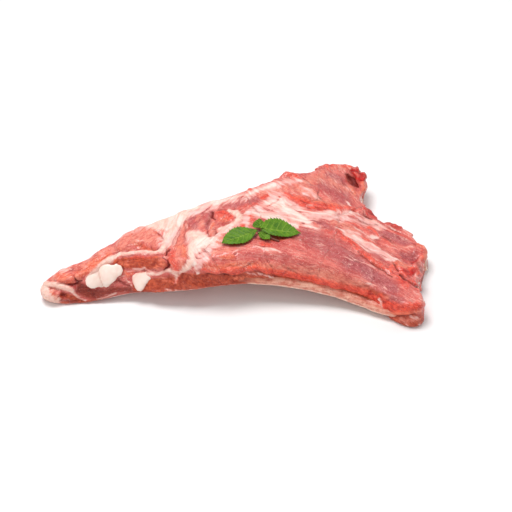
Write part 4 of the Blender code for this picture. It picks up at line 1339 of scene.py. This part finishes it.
# The x at which the knobs' cartilage has given way to bone, and the darker meaty bone to clean bone, and
# the millimetres that each change takes.
KNOB_END_X = -52
KNOB_FADE = 14
MEATY_END_X = 52
MEATY_FADE = 60
# How much redder each knob grows towards its brim, as painted shade round its dome, and all over.
KNOB_BRIMS = {"rib_1": (0.9, 0.16), "rib_2": (0.6, 0.0)}
# The seam between the larger knob's two lobes: a place on it in x and z, its slant, its depth and widths.
SEAM_RIB = "rib_2"
SEAM_X = -113.6
SEAM_Z = 25
SEAM_SLANT = (0.95, 0.32)
SEAM_DEPTH = 0.9
SEAM_WIDTH = 0.9
SEAM_STAIN_WIDTH = 0.5
FILM_STREAKS = ((0.1, 0.36, 0.36), 4.0, 0.62)
BONE_PATCHES = (110.0, 3.0, 0.55)
BONE_BLOTCHES = (260.0, 3.0, 0.6)
BONE_PORES = (620.0, 2.0, 0.55)
BONE_SHADES = {
    "bone_deep": (212, 116, 94),
    "bone_bright": (244, 186, 162),
    "blotch": (198, 76, 58),
    "pore": (166, 46, 36),
    "flesh_deep": (158, 60, 36),
    "flesh_bright": (212, 112, 78),
    # The painted highlight along the bone's lower edge.
    "pale_edge_highlight": (250, 218, 198),
    "cartilage": (252, 232, 220),
    "cartilage_pink": (244, 212, 198),
    # Painted shade towards the knobs' brims.
    "brim": (226, 160, 138),
    "seam": (206, 140, 118),
    "marrow_deep": (122, 22, 20),
    "marrow_bright": (206, 108, 88),
    "hard_ring": (244, 214, 190),
}


def tube_tree(name):
    """Sweeps an oval along a curve whose radius is the oval's half width."""
    tree = bpy.data.node_groups.new(name, "GeometryNodeTree")
    for socket, kind, way in (
        ("Geometry", "NodeSocketGeometry", "INPUT"),
        ("Flatness", "NodeSocketFloat", "INPUT"),
        ("Sides", "NodeSocketInt", "INPUT"),
        ("Finish", "NodeSocketMaterial", "INPUT"),
        ("Geometry", "NodeSocketGeometry", "OUTPUT"),
    ):
        tree.interface.new_socket(socket, in_out=way, socket_type=kind)
    given = add_node(tree, "NodeGroupInput").outputs
    upright = add_node(tree, "GeometryNodeSetCurveNormal", {"Curve": given["Geometry"]}, mode="Z_UP")
    ring = add_node(tree, "GeometryNodeCurvePrimitiveCircle", {"Resolution": given["Sides"], "Radius": 1.0})
    shape = add_node(tree, "ShaderNodeCombineXYZ", {"X": 1.0, "Y": given["Flatness"], "Z": 1.0})
    sockets = {"Geometry": ring.outputs["Curve"], "Scale": shape.outputs["Vector"]}
    oval = add_node(tree, "GeometryNodeTransform", sockets)
    sockets = {
        "Curve": upright.outputs["Curve"],
        "Profile Curve": oval.outputs["Geometry"],
        "Scale": add_node(tree, "GeometryNodeInputRadius").outputs["Radius"],
        "Fill Caps": True,
    }
    swept = add_node(tree, "GeometryNodeCurveToMesh", sockets)
    real = add_node(tree, "GeometryNodeRealizeInstances", {"Geometry": swept.outputs["Mesh"]})
    sockets = {"Geometry": real.outputs["Geometry"], "Material": given["Finish"]}
    finished = add_node(tree, "GeometryNodeSetMaterial", sockets)
    add_node(tree, "NodeGroupOutput", {"Geometry": finished.outputs["Geometry"]})
    return tree


def swept_tube(tree, path, flatness, sides, count, finish):
    """The plain mesh of a tube along a path, in the CAD's frame and in metres."""
    curve = bpy.data.curves.new("path", "CURVE")
    curve.dimensions = "3D"
    line = curve.splines.new("POLY")
    rows = smooth_curve(path, count)
    line.points.add(len(rows) - 1)
    for point, (x, y, z, radius) in zip(line.points, rows):
        point.co = ((x - ORIGIN[0]) * MM, (y - ORIGIN[1]) * MM, z * MM, 1.0)
        point.radius = radius * MM
    holder = new_object("path", curve)
    sweep = holder.modifiers.new("sweep", "NODES")
    sweep.node_group = tree
    inputs = {item.name: item.identifier for item in tree.interface.items_tree if item.in_out == "INPUT"}
    for name, value in (("Flatness", flatness), ("Sides", sides), ("Finish", finish)):
        sweep[inputs[name]] = value
    mesh = finished_mesh(holder)
    bpy.data.objects.remove(holder)
    return mesh


def wall_plane(x, y):
    """A point on the cut wall nearest to a place in plan, and the wall's outward direction there."""
    rows = outline_rows()
    place = int(np.argmin(np.hypot(rows[:, 0] - x, rows[:, 1] - y)))
    low, high = wall_ring(rows, WALL_LOW), wall_ring(rows, WALL_HIGH)
    foot = Vector(low[place])
    beside = Vector(low[(place + WALL_BESIDE) % len(rows)]) - Vector(low[place - WALL_BESIDE])
    out = beside.cross(Vector(high[place]) - foot).normalized()
    return foot, out if out.dot(foot - Vector((*rows[place, 4:], foot.z))) > 0 else -out


def rib_line(name):
    """The rib's middle line in space: rows of x, y, z and half width."""
    return [(x, y, float(arch(x, y)) + lift, wide) for x, y, lift, wide in RIBS[name]]


def rib_meshes(name, tree, finish):
    """The rib's shaft, cut flush with the walls that it reaches, and its knobs."""
    shaft = swept_tube(tree, rib_line(name), RIB_FLATNESS, SHAFT_SIDES, SHAFT_RINGS, finish)
    solid = bmesh.new()
    solid.from_mesh(shaft)
    shift = Vector((*ORIGIN, 0))
    for end in RIB_CUTS[name]:
        point, out = wall_plane(*RIBS[name][end][:2])
        pieces = solid.verts[:] + solid.edges[:] + solid.faces[:]
        place = (point + out * RIB_PROUD - shift) * MM
        bmesh.ops.bisect_plane(solid, geom=pieces, plane_co=place, plane_no=out, clear_outer=True)
        bmesh.ops.holes_fill(solid, edges=solid.edges[:], sides=0)
        bmesh.ops.triangulate(solid, faces=[face for face in solid.faces if len(face.verts) > 4])
    solid.to_mesh(shaft)
    solid.free()
    made = [shaft]
    _, out = wall_plane(*RIBS[name][0][:2])
    turn = out.to_track_quat("Z", "Y").to_matrix().to_4x4()
    for x, y, z, radius in KNOBS.get(name, ()):
        size = Matrix.Diagonal((radius * MM, radius * MM, radius * KNOB_FLATNESS * MM, 1.0))
        place = Matrix.Translation((Vector((x, y, z)) - shift) * MM)
        ball = bmesh.new()
        bmesh.ops.create_icosphere(ball, subdivisions=4, radius=1.0, matrix=place @ turn @ size)
        knob = bpy.data.meshes.new("knob")
        ball.to_mesh(knob)
        ball.free()
        made.append(knob)
    return made


def sawn_end(points, normals, name):
    """How much each point belongs to the rib's sawn end at the wide end of the rack."""
    if -1 not in RIB_CUTS[name]:
        return np.zeros(len(points))
    point, out = wall_plane(*RIBS[name][-1][:2])
    reach = (points + (*ORIGIN, 0) - point) @ np.array(out)
    near_plane = smoothstep((reach + SAWN_DEPTH) / SAWN_FADE)
    return near_plane * smoothstep(normals @ np.array(out) * 2 - 0.6)


def paint_rib(mesh, name):
    """Roughens the rib and stores where its cartilage, seam, marrow and film lie, with the knobs' brims for
    painted shade and the lower edge for a painted highlight.
    """
    points, normals = points_and_normals(mesh)
    cut = sawn_end(points, normals, name)
    knob, seam, brim = np.zeros((3, len(points)))
    rise = sum(height * cloud(points, size, 11 + i) for i, (size, height) in enumerate(BONE_SWELLS))
    if name in KNOBS:
        knob = smoothstep((KNOB_END_X - points[:, 0]) / KNOB_FADE)
        slope, even = KNOB_BRIMS[name]
        face = np.array(wall_plane(*RIBS[name][0][:2])[1])
        brim = slope * (1 - np.clip(normals @ face, 0, 1)) + even
    if name == SEAM_RIB:
        beside = (points[:, 0] + ORIGIN[0] - SEAM_X) * SEAM_SLANT[0]
        beside -= (SEAM_Z - points[:, 2]) * SEAM_SLANT[1]
        rise -= SEAM_DEPTH * knob * np.exp(-((beside / SEAM_WIDTH) ** 2))
        seam = knob * np.exp(-((beside / SEAM_STAIN_WIDTH) ** 2))
    rows = smooth_curve(rib_line(name), RULER_POINTS)
    gap = points[:, None, :2] + ORIGIN - rows[None, :, :2]
    nearest = np.argmin((gap**2).sum(axis=2), axis=1)
    side = np.linalg.norm(gap[np.arange(len(points)), nearest], axis=1)
    run = run_along(rows[:, :2])[nearest]
    points = points + normals * rise[:, None]
    points[:, 2] = np.maximum(points[:, 2], LOWEST_Z)
    move_points(mesh, points)
    tall = (points[:, 2] - rows[nearest, 2]) / RIB_FLATNESS
    # Painted highlight: a pale rim along the downward, near-facing edge.
    lower = smoothstep(-normals[:, 2] * 2.4 - 0.2) * smoothstep(normals[:, 1] * -4 + 1)
    keep_attribute(mesh, "cartilage", knob)
    keep_attribute(mesh, "seam", seam)
    keep_attribute(mesh, "brim", brim)
    keep_attribute(mesh, "marrow", cut)
    keep_attribute(mesh, "core", np.hypot(side, tall) / rows[nearest, 3])
    keep_attribute(mesh, "meaty", smoothstep((MEATY_END_X - points[:, 0]) / MEATY_FADE))
    keep_attribute(mesh, "lower_edge_highlight", lower)
    keep_attribute(mesh, "grain", np.column_stack([run, side, points[:, 2]]))


def bone_colour(tree, film, blotch, pores):
    """Pink speckled bone under a streaky film, meatier and darker towards the narrow end, with a painted
    highlight along its lower edge.
    """
    shades = BONE_SHADES
    bone = tint(tree, shades["bone_deep"], shades["bone_bright"], film, 0.38, 0.62)
    bone = tint(tree, bone, shades["blotch"], blotch, 0.52, 0.66, 0.65)
    bone = tint(tree, bone, shades["pore"], pores, 0.56, 0.72, 0.5)
    flesh = tint(tree, shades["flesh_deep"], shades["flesh_bright"], film, 0.38, 0.6)
    bone = blend_colours(tree, painted(tree, "meaty"), bone, flesh)
    # Painted highlight: pale cream along the bone's lower edge, broken by blotches.
    edge = calculate(tree, "MULTIPLY", painted(tree, "lower_edge_highlight"), remap(tree, blotch, 0.36, 0.6, 1.0, 0.4))
    return blend_colours(tree, edge, bone, shades["pale_edge_highlight"])


def bone_and_cartilage():
    """Smooth cream cartilage at the breastbone end with painted shade towards its brims, bone with a painted
    highlight along its lower edge, and marrow in its hard ring at a sawn end.
    """
    made, tree, shader = new_material(
        "bone_and_cartilage_damp",
        Subsurface_Weight=0.12,
        Subsurface_Scale=0.004,
        Subsurface_Radius=(1.0, 0.5, 0.35),
        Coat_Roughness=0.15,
    )
    shades = BONE_SHADES
    place = add_node(tree, "ShaderNodeTexCoord").outputs["Object"]
    film = draw_grain(tree, painted(tree, "grain", "Vector"), *FILM_STREAKS)
    patch = grow_noise(tree, place, *BONE_PATCHES)
    blotch = grow_noise(tree, place, *BONE_BLOTCHES)
    pores = grow_noise(tree, place, *BONE_PORES)
    bone = bone_colour(tree, film, blotch, pores)
    white = tint(tree, shades["cartilage"], shades["cartilage_pink"], patch, 0.35, 0.7)
    # Painted shade: each knob deepens to pink towards its brim.
    white = tint(tree, white, shades["brim"], painted(tree, "brim"), 0.1, 0.75, 0.8)
    white = tint(tree, white, shades["seam"], painted(tree, "seam"), 0.2, 0.9, 0.6)
    marrow = tint(tree, shades["marrow_deep"], shades["marrow_bright"], pores, 0.4, 0.6)
    marrow = tint(tree, marrow, shades["hard_ring"], painted(tree, "core"), 0.66, 0.78)
    colour = tint(tree, bone, marrow, painted(tree, "marrow"), 0.4, 0.6)
    soft = calculate(tree, "ADD", painted(tree, "cartilage"), remap(tree, patch, 0.3, 0.7, -0.2, 0.2))
    soft = remap(tree, soft, 0.4, 0.6)
    colour = blend_colours(tree, soft, colour, white)
    rough = calculate(tree, "MULTIPLY", film, remap(tree, soft, 0.0, 1.0, 1.0, 0.1))
    tree.links.new(colour, shader.inputs["Base Color"])
    tree.links.new(remap(tree, soft, 0.0, 1.0, 0.42, 0.3), shader.inputs["Roughness"])
    tree.links.new(remap(tree, soft, 0.0, 1.0, 0.2, 0.35), shader.inputs["Coat Weight"])
    raise_surface(tree, shader, rough, 0.4, 0.0007)
    return made


rib_tree = tube_tree("oval_tube_on_path")
bone_finish = bone_and_cartilage()
for name in RIBS:
    rib = fuse(name + "_bone", rib_meshes(name, rib_tree, bone_finish), RIB_VOXEL, RIB_SMOOTHING)
    paint_rib(rib.data, name)
    rib.data.materials.clear()
    rib.data.materials.append(bone_finish)
    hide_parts(name)
    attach(rib, "root")

# Mint leaves: two large leaves and two small ones from the top of a shoot, fresh and slightly cupped, with
# toothed edges and veins sunk in their upper face. They lie loose on the meat and touch it here and there.
LEAF_THICKNESS = 0.35
# Each leaf: its foot's x and y, heading in degrees, length, width, the lift of its foot and of its tip, how
# far it leans in degrees, how lopsided it is, and where it is widest (under 1 is nearer the foot).
LEAVES = {
    "leaf_right": (21.2, -29.6, 8, 33.2, 22, 2.6, 1.4, 9, 0.3, 0.86),
    "leaf_left": (17.4, -29.6, 208, 32, 18.5, 2.0, 0.4, -7, -0.1, 1.1),
    "leaf_bud": (20.4, -29.0, 92, 13, 13, 4.0, 5.4, 0, 0, 0.95),
    "leaf_low": (20.8, -31.6, -52, 11.5, 9, 2.2, 1.4, 0, 0, 0.9),
}
LEAF_CLEARANCE = 0.5
LEAF_REST = 0.3
BLADE_ROWS = 84
BLADE_COLUMNS = 57
TEETH = 13
TOOTH_DEPTH = 0.17
BARE_FOOT = 0.08
VEIN_PAIRS = 7
VEIN_WIDTH = 0.13
MIDRIB_HALF = 0.38
# How high the blade puffs up between its veins, and how deep its middle rib sinks.
PUFF = 0.32
MIDRIB_DEPTH = 0.28
# A height over everything, in metres, from which leaves and stalk come down on the meat.
ABOVE_ALL = 0.2
LEAF_PATCHES = (190.0, 3.0, 0.55)
LEAF_CRINKLES = (800.0, 3.0, 0.55)
LEAF_SHADES = {
    "deep": (48, 96, 3),
    "bright": (88, 132, 8),
    "crinkle": (114, 150, 18),
    "vein": (166, 190, 78),
}


def blade_half_width(along, across, width, skew, peak):
    """Half the blade's width at each point: pointed at its tip, toothed and a little lopsided."""
    half = width / 2 * np.sin(math.pi * (0.03 + 0.95 * along**peak)) ** 0.9 * (1.04 - 0.2 * along**2)
    half *= np.sqrt(np.clip((1.001 - along) * 9, 0, 1))
    tooth = 1 - (along * TEETH + 0.12 * np.sign(across)) % 1
    half *= 1 + TOOTH_DEPTH * (tooth - 0.5) * abs(across) ** 6 * (along > BARE_FOOT)
    return half * (1 + skew * across)


def leaf_shape(name):
    """The upper face of a leaf as a grid, with how near each point is to a vein."""
    foot_x, foot_y, heading, length, width, foot_lift, tip_lift, lean, skew, peak = LEAVES[name]
    c, s = math.cos(math.radians(heading)), math.sin(math.radians(heading))
    steps, offsets = np.linspace(0, 1, BLADE_ROWS), np.linspace(-1, 1, BLADE_COLUMNS)
    along, across = np.meshgrid(steps, offsets, indexing="ij")
    half = blade_half_width(along, across, width, skew, peak)
    bend = 0.05 * width * np.sin(3 * along + heading)
    x = foot_x + along * length * c - (across * half + bend) * s
    y = foot_y + along * length * s + (across * half + bend) * c
    side = 1 if lean > 0 else -1
    lift = LEAF_CLEARANCE + foot_lift * (1 - along) ** 3 + tip_lift * along**2
    lift += 0.8 * abs(across) + 0.4 * (1 + np.sin(9 * along + 2.0 * across))
    lift += (1 + side * across) * half * math.tan(math.radians(abs(lean)))
    branch = (along - 0.2 * abs(across) ** 1.3) * VEIN_PAIRS + 0.25 * np.sign(across)
    gap = abs((branch % 1) - 0.5) * 2
    vein = np.exp(-(((1 - gap) / VEIN_WIDTH) ** 2)) * (1 - abs(across) ** 2 * 0.5)
    midrib = np.exp(-((across * half / MIDRIB_HALF) ** 2))
    vein = np.maximum(0.6 * vein, midrib) * smoothstep((1.02 - along) * 8)
    lift += 0.3 - PUFF * (1 - gap**2) - MIDRIB_DEPTH * midrib
    return np.stack([x, y, top_height(x, y) + lift], axis=-1), vein


def meat_below(meat, x, y):
    """Where the finished meat lies straight below a place, in metres, or None beside it."""
    return meat.ray_cast(Vector((x, y, ABOVE_ALL)), Vector((0, 0, -1)))[0]


def lay_leaf(name, meat, finish):
    """Builds the leaf, rests it on the meat and gives it its thickness."""
    grid, vein = leaf_shape(name)
    points = (grid.reshape(-1, 3) - (*ORIGIN, 0)) * MM
    for point in points:
        hit = meat_below(meat, *point[:2])
        if hit is not None:
            point[2] = max(point[2], hit.z + LEAF_REST * MM)
    step = np.arange(BLADE_ROWS * BLADE_COLUMNS).reshape(BLADE_ROWS, BLADE_COLUMNS)
    quads = np.stack([step[:-1, :-1], step[1:, :-1], step[1:, 1:], step[:-1, 1:]], axis=-1).reshape(-1, 4)
    mesh = bpy.data.meshes.new(name + "_blade")
    mesh.from_pydata(points.tolist(), [], quads.tolist())
    keep_attribute(mesh, "vein", vein.ravel())
    mesh.materials.append(finish)
    mesh.shade_smooth()
    blade = new_object(name + "_blade", mesh)
    skin = blade.modifiers.new("skin", "SOLIDIFY")
    skin.thickness = LEAF_THICKNESS * MM
    skin.offset = 1.0
    solid = finished_mesh(blade)
    blade.modifiers.clear()
    blade.data = solid
    return blade


def mint_leaf():
    """Fresh green leaf, lighter along its veins, with a faint crinkle."""
    made, tree, shader = new_material(
        "mint_leaf_fresh",
        Roughness=0.55,
        Subsurface_Weight=0.05,
        Subsurface_Scale=0.002,
        Subsurface_Radius=(0.6, 1.0, 0.2),
        Specular_IOR_Level=0.3,
    )
    place = add_node(tree, "ShaderNodeTexCoord").outputs["Object"]
    patch = grow_noise(tree, place, *LEAF_PATCHES)
    crinkle = grow_noise(tree, place, *LEAF_CRINKLES)
    green = tint(tree, LEAF_SHADES["deep"], LEAF_SHADES["bright"], patch, 0.35, 0.65)
    green = tint(tree, green, LEAF_SHADES["crinkle"], crinkle, 0.35, 0.7, 0.5)
    green = tint(tree, green, LEAF_SHADES["vein"], painted(tree, "vein"), 0.15, 0.95, 0.75)
    tree.links.new(green, shader.inputs["Base Color"])
    raise_surface(tree, shader, crinkle, 0.5, 0.0004)
    return made


meat_shape = BVHTree.FromObject(slab, bpy.context.evaluated_depsgraph_get())
leaf_finish = mint_leaf()
for name in LEAVES:
    blade = lay_leaf(name, meat_shape, leaf_finish)
    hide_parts(name)
    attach(blade, "root")

# The sprig's stalk: a short thin shoot, pale green and going brown at its cut end. The leaves spring from
# its top, and it lies under the right-hand leaf.
STALK = ((18.6, -29.6), (24.0, -32.2), (30.0, -35.0), (36.0, -38.6))
STALK_RADIUS = 0.9
STALK_REST = 0.1
STALK_FLATNESS = 0.95
STALK_SIDES = 16
STALK_RINGS = 30
# The stalk goes brown between these two x, in metres.
GREEN_UNTIL = 0.021
BROWN_FROM = 0.031
STALK_BARK = (500.0, 3.0, 0.55)
STALK_GREEN = (124, 134, 58)
STALK_BROWN = (112, 52, 36)


def mint_stalk():
    """Green stalk, brown where it was picked."""
    made, tree, shader = new_material("mint_stalk", Roughness=0.55)
    place = add_node(tree, "ShaderNodeTexCoord").outputs["Object"]
    parts = add_node(tree, "ShaderNodeSeparateXYZ", {"Vector": place}).outputs
    bark = grow_noise(tree, place, *STALK_BARK)
    tone = remap(tree, parts["X"], GREEN_UNTIL, BROWN_FROM)
    tone = calculate(tree, "ADD", tone, remap(tree, bark, 0.3, 0.7, -0.3, 0.3))
    tree.links.new(tint(tree, STALK_GREEN, STALK_BROWN, tone, 0.1, 0.8), shader.inputs["Base Color"])
    raise_surface(tree, shader, bark, 0.5, 0.0004)
    return made


stalk_path = []
for x, y in STALK:
    meat_z = meat_below(meat_shape, (x - ORIGIN[0]) * MM, (y - ORIGIN[1]) * MM).z / MM
    stalk_path.append((x, y, meat_z + STALK_RADIUS + STALK_REST, STALK_RADIUS))
stalk_mesh = swept_tube(rib_tree, stalk_path, STALK_FLATNESS, STALK_SIDES, STALK_RINGS, mint_stalk())
stalk_mesh.shade_smooth()
stalk = new_object("stalk", stalk_mesh)
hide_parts("sprig_stem")
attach(stalk, "root")
